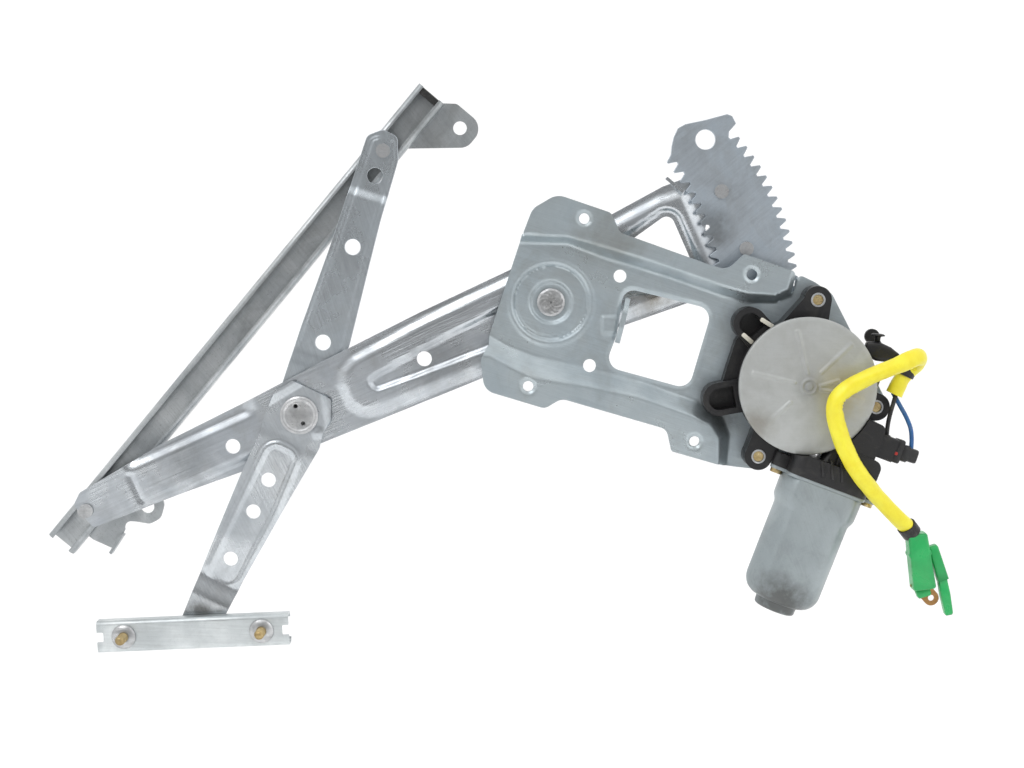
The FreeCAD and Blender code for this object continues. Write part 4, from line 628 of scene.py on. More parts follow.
# %% Lifting arm
ARM_TURN, ARM_FRONT, ARM_GAUGE = 204.2, 15, 2
CROSS_AT, LIFT_AT = 168.3, 313
RIVET_HOLE = 5.2
arm_outline = rounded([
    (312, -11.8, 3), (318.6, -6.5, 3), (313.6, 11.4, 2), (302, 12, 12), (254, 14.6, 100),
    (168.3, 21.2, 200), (15, 27, 200), (-90, 36, 12), (-121, 34, 8), (-129, 12, 60),
    (-129, -12, 60), (-121, -34, 8), (-90, -36, 12), (15, -28, 200), (75, -27, 200),
    (142, -24, 200), (198, -20.6, 100), (254, -18.3, 60)])
FAN_HOLE = [(-31, -8.5, 6), (-31, 8.5, 6), (-88, 20, 5), (-88, -20, 5)]
ROOT_RAISED = rounded([
    (141, 8, 3), (135.7, 17, 6), (127.7, 20.4, 6), (57, 23.7, 60), (0, 26.5, 60), (-85, 33.5, 8),
    (-104, 31, 8), (-104, -31, 8), (-85, -33.5, 8), (15.9, -26.4, 60), (75.5, -25.2, 60),
    (125, -21.3, 6), (135.8, -16.5, 5), (141, -8, 3)])
ROOT_PANEL = rounded([
    (122.5, -3.5, 4), (120.8, 6, 4), (90.8, 8.5, 60), (26, 12.2, 5), (26, -10.4, 5),
    (83.6, -7.4, 60)])

# %% Lifting arm, height
def pressed_in(points, loop, amount, run):
    """Pushes back what lies inside an outline, with an S curve as wide as the run."""
    return amount * smooth(depth(points, loop) / run)


def falling_edge(v, inner, run, amount):
    """Pushes back what lies further from the middle line than a given distance."""
    return amount * smooth((np.abs(v) - inner) / run)


def arm_height(u, v):
    """The root is raised inside its border, with a sunk panel and a sunk rim round the fan's
    hole; the tip's long edges fall back, with a groove at the end next to the cross pivot."""
    points = np.stack([u, v], 1)
    off_boss = smooth((np.hypot(u, v) - 15) / 6)
    raised = pressed_in(points, ROOT_RAISED, 2.1, 7.5) * off_boss
    hole = -depth(points, rounded(FAN_HOLE))
    sunk = pressed_in(points, ROOT_PANEL, 2.3, 2.4) + 2.1 * (1 - smooth((hole - 3.4) / 2.2))
    along = smooth((u - 190) / 9) * (1 - smooth((u - 273) / 9))
    inner = np.where(v < 0, 10.4, 8.6)
    run = np.where(v < 0, 6.2, 4.4)
    groove = 0.9 * np.exp(-((u - 279.5) / 1.5) ** 2) * (np.abs(v) < 9)
    return ARM_FRONT - raised + sunk * off_boss + groove + along * falling_edge(v, inner, run, 2.2)


SECTOR_RIVETS = [122.6 * heading(degrees - ARM_TURN) for degrees in (15.3, 33)]
lifting_arm = pressed(
    "lifting_arm", [arm_outline],
    [rounded(FAN_HOLE), round_hole(-108, -0.6, 4.6), round_hole(84.6, 0, 4.6),
     round_hole(214, 0.9, 4.6), round_hole(0, 0, 5.3), round_hole(CROSS_AT, 0, 5.3),
     round_hole(LIFT_AT, 0, 2.6)] + [round_hole(*spot, 3) for spot in SECTOR_RIVETS],
    arm_height, ARM_GAUGE, pitch=1.35, place=leaning(*PIVOT, ARM_TURN), bevel=0.3)
dress(lifting_arm, "main_arm", "arm_zinc", "main_arm")

# %% Stop on the lifting arm, which stands up towards the panel
stop_loop = rounded([(-94.9, -40.3, 0.4), (-100.9, -28.4, 0.4), (-99.2, -27.6, 0.4),
                     (-93.2, -39.5, 0.4)], 4)
arm_stop = pressed("arm_stop", [stop_loop], [], lambda u, v: 11.7 + 0 * u, 3.5, pitch=0.9,
                   place=leaning(*PIVOT, ARM_TURN), bevel=0.25)
dress(arm_stop, "main_arm", "arm_zinc")

# %% Equalizer, front half
CROSS = PIVOT + CROSS_AT * heading(ARM_TURN)
FRONT_TURN, FRONT_AT = 244, 147.2
front_outline = rounded([
    (-17.4, -12.8, 1.5), (-6.4, -19.6, 1.5), (8.3, -19.3, 3), (18.1, -17.3, 5), (50.4, -16.6, 60),
    (100, -14, 100), (140.2, -11.4, 40), (158.2, -10.6, 10), (158.2, 11, 10), (130, 12.4, 20),
    (107.1, 13, 20), (50, 16.8, 60), (13.7, 19.8, 5), (3.3, 17.8, 3), (-5.8, 18.6, 1.5),
    (-17.4, 13.3, 1.5)])
channel = rounded([(24, -7.2, 6), (113, -6.8, 6), (113, 8.4, 6), (60, 10, 60), (24, 8, 6)])


def front_height(u, v):
    """Two raised borders leave a long shallow channel between them, the sheet steps forward
    past its end, and the corners of the head are bent forward."""
    points = np.stack([u, v], 1)
    outside = outside_of(points, channel)
    border = smooth((outside - 0.2) / 1.6) * smooth((u - 15) / 7) * (1 - smooth((u - 108) / 8))
    border = border * (1 - 0.8 * smooth((outside - 3.6) / 1.8))
    corner = np.maximum(np.abs(v) * 0.83 - 0.55 * u - 14.2, 0)
    bulge = 0.8 * (1 - smooth(np.hypot(u - 5, v - 14.5) / 4.5))
    return 12.5 - 3.5 * smooth((u - 113) / 15) - 1.0 * border - 1.7 * smooth(corner / 4) - bulge


front_arm = pressed(
    "equalizer_front", [front_outline],
    [round_hole(44.4, 0.1, 4.5), round_hole(66.2, 0.1, 4.5), round_hole(98.9, 0.1, 4.5),
     round_hole(0, 0, RIVET_HOLE), round_hole(FRONT_AT, 0, 3)],
    front_height, ARM_GAUGE, pitch=1.1, place=leaning(*CROSS, FRONT_TURN), bevel=0.3)
dress(front_arm, "equalizer", "arm_zinc", "equalizer_front_arm")

# %% Equalizer, rear half
REAR_TURN, REAR_AT = 72.25, 168.7
rear_outline = rounded([
    (181, 4, 4), (174.7, 12, 5), (102, 13.5, 100), (50.7, 15.8, 100), (-17, 17, 14),
    (-17, -17, 14), (50.7, -15.8, 100), (127, -11.3, 60), (165.7, -10.6, 10), (179.7, -6, 5)])


def rear_height(u, v):
    """The sheet steps back by 1.2 mm past the head and again by 1.8 mm near the roller, and a
    fine pressed line follows its edges."""
    edge = depth(np.stack([u, v], 1), rear_outline)
    line = np.exp(-((edge - 3.4) / 0.9) ** 2) * smooth((u - 34) / 12) * (u < 176)
    return 19.5 + 1.2 * smooth((u - 28) / 10) + 1.8 * smooth((u - 137) / 6.6) + 0.35 * line


rear_arm = pressed(
    "equalizer_rear", [rear_outline],
    [round_hole(46.1, 0.1, 4.8), round_hole(107.4, 0.1, 4.8), round_hole(152.8, 0.1, 4.8),
     round_hole(0, 0, RIVET_HOLE), round_hole(REAR_AT, 0, 3)],
    rear_height, ARM_GAUGE, pitch=1.1, place=leaning(*CROSS, REAR_TURN), bevel=0.3)
dress(rear_arm, "equalizer", "arm_zinc", "equalizer_rear_arm")

# %% [markdown]
# ## Riveted joints
# A rivet's head is hammered, so it is never a plain disc. Each head is a polar grid: rings of
# growing radius whose height is a function of radius and angle, with dimples or a rough face.

# %% Polar grids
def polar_cap(name, radii, height, x, z, around=96, skirt=()):
    """Rings round a middle point. A ring's height is a function of its radius and the angle,
    and skirt adds (radius, y) rings that close the sides and the back."""
    r, a = np.meshgrid(np.array(radii, float), full_turn(around), indexing="ij")
    y = height(r, a)
    if len(skirt):
        skirt = np.array(skirt, float)
        r = np.concatenate([r, skirt[:, :1] + 0 * a[:1]])
        a = np.concatenate([a, 0 * skirt[:, :1] + a[:1]])
        y = np.concatenate([y, skirt[:, 1:] + 0 * a[:1]])
    return ringed_piece(name, np.stack([x + r * np.cos(a), y, z + r * np.sin(a)], -1))


def dimple(r, a, across, up, radius, amount):
    """A round dent that sinks by an amount at its place in the head."""
    gap = np.hypot(r * np.cos(a) - across, r * np.sin(a) - up)
    return amount * (1 - smooth((gap - 0.35 * radius) / (0.65 * radius)))


# %% Cross pivot and main pivot
def hub_height(r, a):
    """A ring near the rim, a slightly sunk disc inside it and two round dimples."""
    ring = np.exp(-((r - 10.2) / 0.6) ** 2)
    disc = 0.35 * (1 - smooth((r - 8.7) / 0.7))
    return (10.9 - 0.3 * ring + disc + dimple(r, a, -2.1, 5.6, 1.6, 1.3)
            + dimple(r, a, 2.3, -5.0, 1.6, 1.3) + 0.3 * smooth((r - 10.9) / 0.8))


hub = polar_cap("cross_rivet", np.linspace(0, 11.7, 44), hub_height, *CROSS,
                skirt=[(11.7, 11.9), (11.6, 12.5), (5.2, 12.5), (5.2, 21.5), (8.1, 21.5),
                       (8.5, 21.9), (8.3, 22.8), (7.5, 23.1), (3.2, 23.1), (2.4, 22.4), (0, 22.4)])
dress(hub, "equalizer", "bright_steel", "cross_pivot_hub")


def rivet_height(r, a):
    """A peened face: a shallow crown broken by rays and rings of hammer marks."""
    marks = 0.12 * np.sin(5 * a + 1.1 * r) * np.exp(-((r - 4.2) / 2.2) ** 2)
    rough = (0.07 * np.sin(11 * a - 2 * r)
             + 0.05 * np.sin(7.3 * r * np.cos(a)) * np.sin(6.1 * r * np.sin(a)))
    return 9.75 + marks + rough + 0.5 * smooth((r - 7.0) / 1.4) - 0.25 * np.exp(-(r / 1.6) ** 2)


rivet = polar_cap("pivot_rivet", np.linspace(0, 8.4, 36), rivet_height, *PIVOT,
                  skirt=[(8.5, 10.5), (8.5, 11.5), (5.2, 11.6), (5.2, 17.3), (8.0, 17.3),
                         (8.5, 17.8), (8.2, 18.9), (7.4, 19.3), (3.4, 19.3), (2.6, 18.5),
                         (0, 18.5)])
dress(rivet, "plate", "bright_steel", "main_pivot_rivet")
print("rivet heads:", len(hub.data.vertices), "and", len(rivet.data.vertices), "points")

# %% [markdown]
# ## Gearbox cover
# The cover is a shallow dome with pressed ribs and a rolled rim. It is one polar grid: the
# dome's height depends on the radius, and each rib adds a low ridge round a line segment.

# %% Cover
RIBS = [((6.8, 0.6), (17, 3.4)), ((-1.3, 8.4), (-7, 32.5)), ((6.9, 8.4), (24.6, 24.8)),
        ((-8.9, 2.5), (-32.6, 7.8)), ((-11, -9.3), (-25.5, -22.9)), ((7.1, -1.6), (31.6, -8.1))]
DOME_RADII = [0, 8, 20, 30, 36, 38.8, 40.8]
DOME_FRONT = [-24.8, -24.7, -24.1, -23.2, -22.3, -22.0, -21.5]


def cover_height(r, a):
    """The dome, less the ridge of each rib, the ring round the middle and the middle pin."""
    across, up = r * np.cos(a), r * np.sin(a)
    y = np.interp(r, DOME_RADII, DOME_FRONT)
    for (u0, v0), (u1, v1) in RIBS:
        run = np.array([u1 - u0, v1 - v0])
        t = np.clip(((across - u0) * run[0] + (up - v0) * run[1]) / (run ** 2).sum(), 0, 1)
        gap = np.hypot(across - u0 - t * run[0], up - v0 - t * run[1])
        y = y - 0.8 * (1 - smooth((gap - 0.4) / 1.3))
    hub_ring = np.exp(-((r - 4.2) / 0.9) ** 2)
    pin = 1 - smooth((r - 1.7) / 0.7)
    return y - 0.8 * hub_ring - 1.0 * pin


cover_radii = np.r_[np.linspace(0, 40.0, 96), 40.45]
cover = polar_cap("drum_cover", cover_radii, cover_height, *PINION, around=200,
                  skirt=[(40.75, -21.2), (40.8, -20.6), (40.8, -18.0), (40.7, -17.6),
                         (39.7, -17.6), (39.6, -20.5), (30, -22.0), (8, -23.5), (0, -23.5)])
dress(cover, "plate", "cover_paint", "gear_cover")
print("cover:", len(cover.data.vertices), "points")

# %% [markdown]
# ## Motor can
# The can is drawn from sheet steel with two flats, a slightly wider shoulder at the gearbox and
# a cup for the end bearing. Its section is a circle whose height is limited by a soft minimum,
# and the section's size changes along the axis.

# %% Can
MOTOR_TURN, MOTOR_SIDE, MOTOR_FRONT = 249.4, 31.8, -9.5
_, DOWN, ACROSS, AWAY = leaning(0, 0, MOTOR_TURN)
FOOT = np.array([PINION[0], MOTOR_FRONT, PINION[1]]) + MOTOR_SIDE * ACROSS
CAN_START, CAN_HALF_FLATS, CAN_AROUND = 53, 18.0, 128
arc = np.linspace(0, np.pi / 2, 9)
can_line = np.array([(CAN_START, 21.5), (CAN_START, 25.0), (53.6, 25.4), (66, 25.2), (67.6, 24.8),
                     (70.5, 23.4), (72, 23.0), (90, 23.0), (113, 22.9)]
                    + [(116.5 + 11 * math.sin(t), 12.9 + 10 * math.cos(t)) for t in arc]
                    + [(127.9, 12.6)]
                    + [(131.2 + 1.8 * math.sin(t), 10.6 + 1.8 * math.cos(t)) for t in arc]
                    + [(133, 6), (132.6, 5.2), (132.6, 0)])


def can_surface(line, half, around, ease=0.9):
    """Rings along the motor's axis. Across the flats the ring's height is limited to half a
    flat-to-flat width by a soft minimum, so the corner between flat and round stays gentle."""
    turn, corners = full_turn(around), np.arange(len(line))
    fine = np.linspace(0, len(line) - 1, 3 * len(line))
    a = np.interp(fine, corners, line[:, 0])[:, None]
    r = np.interp(fine, corners, line[:, 1])[:, None]
    wide, tall = r * np.cos(turn), r * np.sin(turn)
    tall = np.sign(tall) * (np.abs(tall) - ease * np.log1p(np.exp((np.abs(tall) - half) / ease)))
    return FOOT + a[..., None] * DOWN + wide[..., None] * ACROSS + tall[..., None] * AWAY


can_points = can_surface(can_line, CAN_HALF_FLATS, CAN_AROUND)
can_end = np.repeat((FOOT + CAN_START * DOWN)[None, None], CAN_AROUND, 1)
can = ringed_piece("motor_shell", np.concatenate([can_end, can_points]))
dress(can, "plate", "can_steel", "motor_can")
print("can:", len(can.data.vertices), "points")

# %% Flange of the can, with its two lugs
flange_place = (FOOT + CAN_START * DOWN, ACROSS, -AWAY, -DOWN)
can_flange = pressed(
    "can_flange",
    [rounded([(-24.5, -17.5, 7), (24.5, -17.5, 7), (24.5, 18, 7), (-24.5, 18, 7)]),
     rounded([(-33.4, -4.4, 4.3), (33.4, -4.4, 4.3), (33.4, 4.4, 4.3), (-33.4, 4.4, 4.3)])],
    [round_hole(-29, 0, 2.1), round_hole(29, 0, 2.1)],
    lambda u, v: 0 * u, 2.0, pitch=1.6, place=flange_place, bevel=0.35)
dress(can_flange, "plate", "can_steel")

# %% [markdown]
# ## Threaded studs of the guide rail
# A thread is a helix, and on a grid that is one line: the radius is a triangle wave of the
# height less the angle, so the ridge climbs by one pitch in each turn.

# %% Studs, washers and collars
GUIDE = CROSS + FRONT_AT * heading(FRONT_TURN)
GUIDE_TURN, STUD_AT = 2.45, 42


def threaded(name, x, z, start, end, radius, pitch, around=40):
    """Radius along the stud: a triangle wave of height over pitch less angle over a turn, that
    fades to a plain lead-in at the free end."""
    rows = int(abs(end - start) / pitch * 10) + 1
    y, a = np.meshgrid(np.linspace(start, end, rows), full_turn(around), indexing="ij")
    wave = np.abs(((y / pitch - a / (2 * np.pi)) % 1) - 0.5) * 2
    lead = smooth(np.abs(y - end) / 1.2)
    r = radius - 0.45 * wave * lead - 0.6 * (1 - lead)
    points = np.stack([x + r * np.cos(a), y, z + r * np.sin(a)], -1)
    cap = np.repeat(np.array([[[x, end, z]]]), around, 1)
    root = np.repeat(np.array([[[x, start, z]]]), around, 1)
    return ringed_piece(name, np.concatenate([root, points, cap]))


for number, side in enumerate((-STUD_AT, STUD_AT)):
    x, z = GUIDE + side * heading(GUIDE_TURN)
    stud = threaded("rail_stud_%d" % number, x, z, -0.9, -14.1, 3.0, 1.25)
    seat = turned("stud_collar_%d" % number,
                  closed([(2.6, -2.1), (7.4, -2.1), (7.5, -2.5), (7.2, -3.3), (6.0, -3.6),
                          (5.2, -4.1), (3.4, -4.3), (2.6, -4.3)]), x, z)
    dress(stud, "guide_rail", "yellow_zinc", None if number else "guide_rail_studs")
    dress(seat, "guide_rail", "bright_steel")
print("studs at", GUIDE.round(1), "mm, each", STUD_AT, "mm to a side")

# %% [markdown]
# ## Small parts of the housing
# A push-in clip stands over the gearbox, two ribs in the housing's upper corner are coloured pale
# as a painted highlight, and ribs stiffen the motor's seat.

# %% Push-in clip
clip_cap = turned("clip_cap", [(0, -1.1), (3.0, -1.2), (4.0, -1.7), (4.2, -2.4), (2.2, -2.8),
                               (1.7, -3.4), (1.7, -8.5), (0, -8.5)],
                  141.3, 0.0, along=(0.1, 0, 1), origin_y=-9.0, around=40)
dress(clip_cap, "plate", "black_plastic")

# %% Ribs of the motor's seat and two housing ribs that are white as a painted highlight
for number, (x, low, high) in enumerate(((105.6, -84.5, -75.2), (111.3, -86.4, -75.2),
                                         (117.0, -87.8, -75.6))):
    rib = soft_box("seat_rib_%d" % number, (x, -23.6, high), (x + 0.6, -23.6, low), TO_VIEWER,
                   [(0, 0.7, 4.4), (0.05, 0.9, 4.8), (0.95, 0.9, 4.8), (1, 0.7, 4.4)], 0.2)
    dress(rib, "plate", "black_plastic")

# The two housing ribs are white only as a painted highlight: the colour stands in for light
# catching two black ribs.
for number, (start, end) in enumerate((((71.5, 7.4), (79.1, 2.6)), ((60.7, -1.5), (66.9, -7.0)))):
    rib_with_painted_highlight = soft_box("housing_rib_painted_highlight_%d" % number, (start[0], -6.6, start[1]), (end[0], -6.6, end[1]),
                   TO_VIEWER, [(0, 0.9, 0.8), (0.08, 1.3, 1.2), (0.92, 1.3, 1.2), (1, 0.9, 0.8)])
    dress(rib_with_painted_highlight, "plate", "white_plastic")

# %% [markdown]
# ## Nodes kept from the model
# Housings, rails, brackets, gears and pins keep the shape they have. Their meshes are loose
# triangles, so a Weld joins them before a Bevel can find the edges and break them.

# %% Bevels on the kept nodes
BEVELS = {
    "gear_housing": 0.5, "motor_socket": 0.35, "connector_terminal": 0.15,
    "sleeve_clip": 0.25, "sector_gear": 0.22, "glass_rail": 0.12,
    "guide_rail": 0.12, "upper_rail_bracket": 0.3, "lower_rail_bracket": 0.3,
    "rail_end_stop": 0.4, "mount_sleeves": 0.2, "mount_screws": 0.25, "can_screws": 0.3,
    "sector_rivets": 0.35, "lift_pin": 0.3, "rear_arm_pin": 0.3, "front_arm_pin": 0.3,
    "output_pinion": 0.15,
}
for name, width in BEVELS.items():
    weld = nodes[name].modifiers.new("weld", "WELD")
    weld.merge_threshold = TOUCHING
    break_edges(nodes[name], width, SOLID_CORNER)
print("bevelled nodes:", len(BEVELS))

# %% [markdown]
# ## Finishes
# Every finish is worked out from Object coordinates, so it stays on its piece. Five effects are
# shared by many of them and are built once as node groups: a cloudy change between two colours,
# fine drawn lines, grime that gathers in patches, a round spot about one place, used for stains
# and for the painted shade in the cross rivet's dimples, and the grain of moulded plastic.

# %% Node helpers
def wired(tree, kind, links=(), **settings):
    """Adds a node, sets its properties, and links or sets its inputs by name or number."""
    node = tree.nodes.new("ShaderNode" + kind)
    for name, value in settings.items():
        setattr(node, name, value)
    for name, value in dict(links).items():
        target = node.inputs[name]
        if isinstance(value, bpy.types.NodeSocket):
            tree.links.new(value, target)
        else:
            target.default_value = value
    return node


def sums(tree, operation, *values):
    """The result of one Math node on one or two values."""
    return wired(tree, "Math", enumerate(values), operation=operation).outputs[0]


def noise(tree, where, scale, detail, roughness=0.5, distortion=0.0):
    return wired(tree, "TexNoise", {"Vector": where, "Scale": scale, "Detail": detail,
                                    "Roughness": roughness, "Distortion": distortion}).outputs[0]


def ramp(tree, factor, stops):
    """A grey ramp whose stops are (place, brightness)."""
    node = wired(tree, "ValToRGB", {0: factor})
    elements = node.color_ramp.elements
    while len(elements) < len(stops):
        elements.new(0.5)
    for element, (place, shade) in zip(elements, stops):
        element.position = place
        element.color = (shade, shade, shade, 1)
    return node.outputs["Color"]


def mixed(tree, factor, first, second, blend="MIX"):
    """Two colours mixed by a factor; 6, 7 and 2 are the node's colour sockets."""
    node = wired(tree, "Mix", {0: factor, 6: first, 7: second}, data_type="RGBA", blend_type=blend)
    return node.outputs[2]


def group(name, inputs, outputs):
    """An empty node group with its inputs, their first values, and its outputs."""
    tree = bpy.data.node_groups.new(name, "ShaderNodeTree")
    for label, kind, value in inputs:
        made = tree.interface.new_socket(label, in_out="INPUT", socket_type="NodeSocket" + kind)
        if value is not None:
            made.default_value = value
    for label, kind in outputs:
        tree.interface.new_socket(label, in_out="OUTPUT", socket_type="NodeSocket" + kind)
    start, end = tree.nodes.new("NodeGroupInput"), tree.nodes.new("NodeGroupOutput")
    return tree, start.outputs, end.inputs


# %% Shared effects
cloudy, given, result = group("cloudy", [
    ("Vector", "Vector", None), ("Scale", "Float", 20.0), ("Light", "Color", (0.6, 0.6, 0.6, 1)),
    ("Dark", "Color", (0.4, 0.4, 0.4, 1))], [("Color", "Color"), ("Mask", "Float")])
broad = noise(cloudy, given["Vector"], given["Scale"], 5.0, 0.6, 0.4)
mask = ramp(cloudy, broad, [(0.36, 0.0), (0.64, 1.0)])
cloudy.links.new(mixed(cloudy, mask, given["Light"], given["Dark"]), result["Color"])
cloudy.links.new(mask, result["Mask"])

drawn, given, result = group("drawn_lines", [
    ("Vector", "Vector", None), ("Fineness", "Float", 900.0), ("Stretch", "Float", 0.03)],
    [("Mask", "Float")])
squeeze = wired(drawn, "CombineXYZ", {"X": given["Stretch"], "Y": 1.0, "Z": 1.0})
stretched = wired(drawn, "VectorMath", {0: given["Vector"], 1: squeeze.outputs[0]},
                  operation="MULTIPLY")
lines = noise(drawn, stretched.outputs[0], given["Fineness"], 3.0, 0.7)
drawn.links.new(ramp(drawn, lines, [(0.32, 0.0), (0.68, 1.0)]), result["Mask"])

grime, given, result = group("grime", [
    ("Vector", "Vector", None), ("Scale", "Float", 40.0), ("Amount", "Float", 0.5)],
    [("Mask", "Float")])
patches = noise(grime, given["Vector"], given["Scale"], 7.0, 0.68, 0.8)
specks = noise(grime, given["Vector"], 1500.0, 2.0)
soaked = ramp(grime, patches, [(0.50, 0.0), (0.72, 1.0)])
dotted = ramp(grime, specks, [(0.64, 0.0), (0.72, 1.0)])
both = sums(grime, "MAXIMUM", soaked, dotted)
grime.links.new(sums(grime, "MULTIPLY", both, given["Amount"]), result["Mask"])

# This spot mask darkens real stains, and in the cross rivet's dimples it carries painted shade.
smudge_and_shade, given, result = group("smudge_and_shade", [
    ("Vector", "Vector", None), ("Centre", "Vector", (0, 0, 0)), ("Radius", "Float", 0.02),
    ("Scale", "Float", 90.0)], [("Mask", "Float")])
offset = wired(smudge_and_shade, "VectorMath", {0: given["Vector"], 1: given["Centre"]},
               operation="SUBTRACT")
away = wired(smudge_and_shade, "VectorMath", {0: offset.outputs[0]}, operation="LENGTH").outputs["Value"]
near = sums(smudge_and_shade, "SUBTRACT", 1.1, sums(smudge_and_shade, "DIVIDE", away, given["Radius"]))
blot = noise(smudge_and_shade, given["Vector"], given["Scale"], 6.0, 0.65)
uneven = sums(smudge_and_shade, "MULTIPLY", blot, near)
smudge_and_shade.links.new(ramp(smudge_and_shade, uneven, [(0.12, 0.0), (0.42, 1.0)]), result["Mask"])

grain, given, result = group("grain", [
    ("Vector", "Vector", None), ("Scale", "Float", 1400.0)], [("Height", "Float")])
grain.links.new(noise(grain, given["Vector"], given["Scale"], 2.0), result["Height"])
print("node groups:", [tree.name for tree in bpy.data.node_groups])

# %% The parts of a finish
def placed(tree, turn=0.0):
    """Object coordinates, turned about the viewer's axis so that X runs along the piece."""
    where = wired(tree, "TexCoord").outputs["Object"]
    if not turn:
        return where
    return wired(tree, "Mapping", {"Vector": where, "Rotation": (0, math.radians(turn), 0)},
                 vector_type="POINT").outputs[0]


def effect(tree, made, **values):
    """One use of a shared effect, which is a node group's tree."""
    return wired(tree, "Group", values, node_tree=made).outputs


def colour(screen):
    """A colour as a screen shows it (0 to 255) becomes the linear one that shaders use."""
    s = np.array(screen) / 255
    return tuple(np.where(s <= 0.04045, s / 12.92, ((s + 0.055) / 1.055) ** 2.4).tolist())


def new_finish(name, **constants):
    """A material with its tree and its shader, whose inputs are set by name."""
    material = bpy.data.materials.new(name)
    material.use_nodes = True
    tree = material.node_tree
    shader = tree.nodes["Principled BSDF"]
    for label, value in constants.items():
        shader.inputs[label.replace("_", " ")].default_value = value
    return material, tree, shader


def between(tree, factor, low, high):
    """A roughness that runs from low to high with a mask."""
    node = wired(tree, "MapRange", {"Value": factor, "To Min": low, "To Max": high})
    return node.outputs[0]


def bumped(tree, shader, height, strength, distance):
    """Lets a height tilt the surface's normal, without a change of shape."""
    bump = wired(tree, "Bump", {"Height": height, "Strength": strength, "Distance": distance})
    tree.links.new(bump.outputs[0], shader.inputs["Normal"])


# %% Two kinds of finish
def zinc(name, light, dark, dirt, turn=0.0, metal=0.85, smoothness=(0.28, 0.46), cloud=30.0,
         dirty=0.35, dirt_scale=36.0, lines=0.25, stains_and_shade=()):
    """Zinc-plated sheet: two greys in clouds, drawn lines along the piece, patches of grime and
    round spots, each with its centre, radius, colour and strength; the spots are stains, except
    the painted shade in the cross rivet's dimples."""
    light, dark, dirt = colour(light), colour(dark), colour(dirt)
    material, tree, shader = new_finish(name, Metallic=metal)
    where = placed(tree, turn)
    tone = effect(tree, cloudy, Vector=where, Scale=cloud, Light=(*light, 1), Dark=(*dark, 1))
    line = effect(tree, drawn, Vector=where)["Mask"]
    soil = effect(tree, grime, Vector=where, Scale=dirt_scale, Amount=dirty)["Mask"]
    shaded = sums(tree, "MULTIPLY", line, lines)
    streaked = mixed(tree, shaded, tone["Color"], (*[0.62 * c for c in dark], 1))
    base = mixed(tree, soil, streaked, (*dirt, 1))
    for centre, radius, shade, strength in stains_and_shade:
        spot = effect(tree, smudge_and_shade, Vector=placed(tree), Centre=centre, Radius=radius)["Mask"]
        faint = sums(tree, "MULTIPLY", spot, strength)
        base = mixed(tree, faint, base, (*colour(shade), 1))
    tree.links.new(base, shader.inputs["Base Color"])
    wear = sums(tree, "MAXIMUM", tone["Mask"], soil)
    tree.links.new(between(tree, wear, *smoothness), shader.inputs["Roughness"])
    bumped(tree, shader, line, 0.18, 0.0002)
    return material


def moulded(name, base, worn, rough=(0.35, 0.6), fine=1400.0, bump=0.25, cloud=60.0, dusty=0.25,
            dust=None):
    """Moulded plastic, rubber or vinyl: slow change of tone, a fine grain and a little dust."""
    base, worn = colour(base), colour(worn)
    dust = colour(dust) if dust else (0.30, 0.29, 0.27)
    material, tree, shader = new_finish(name)
    where = placed(tree)
    tone = effect(tree, cloudy, Vector=where, Scale=cloud, Light=(*base, 1), Dark=(*worn, 1))
    soil = effect(tree, grime, Vector=where, Scale=80.0, Amount=dusty)["Mask"]
    tree.links.new(mixed(tree, soil, tone["Color"], (*dust, 1)), shader.inputs["Base Color"])
    tree.links.new(between(tree, tone["Mask"], *rough), shader.inputs["Roughness"])
    bumped(tree, shader, effect(tree, grain, Vector=where, Scale=fine)["Height"], bump, 0.0004)
    return material
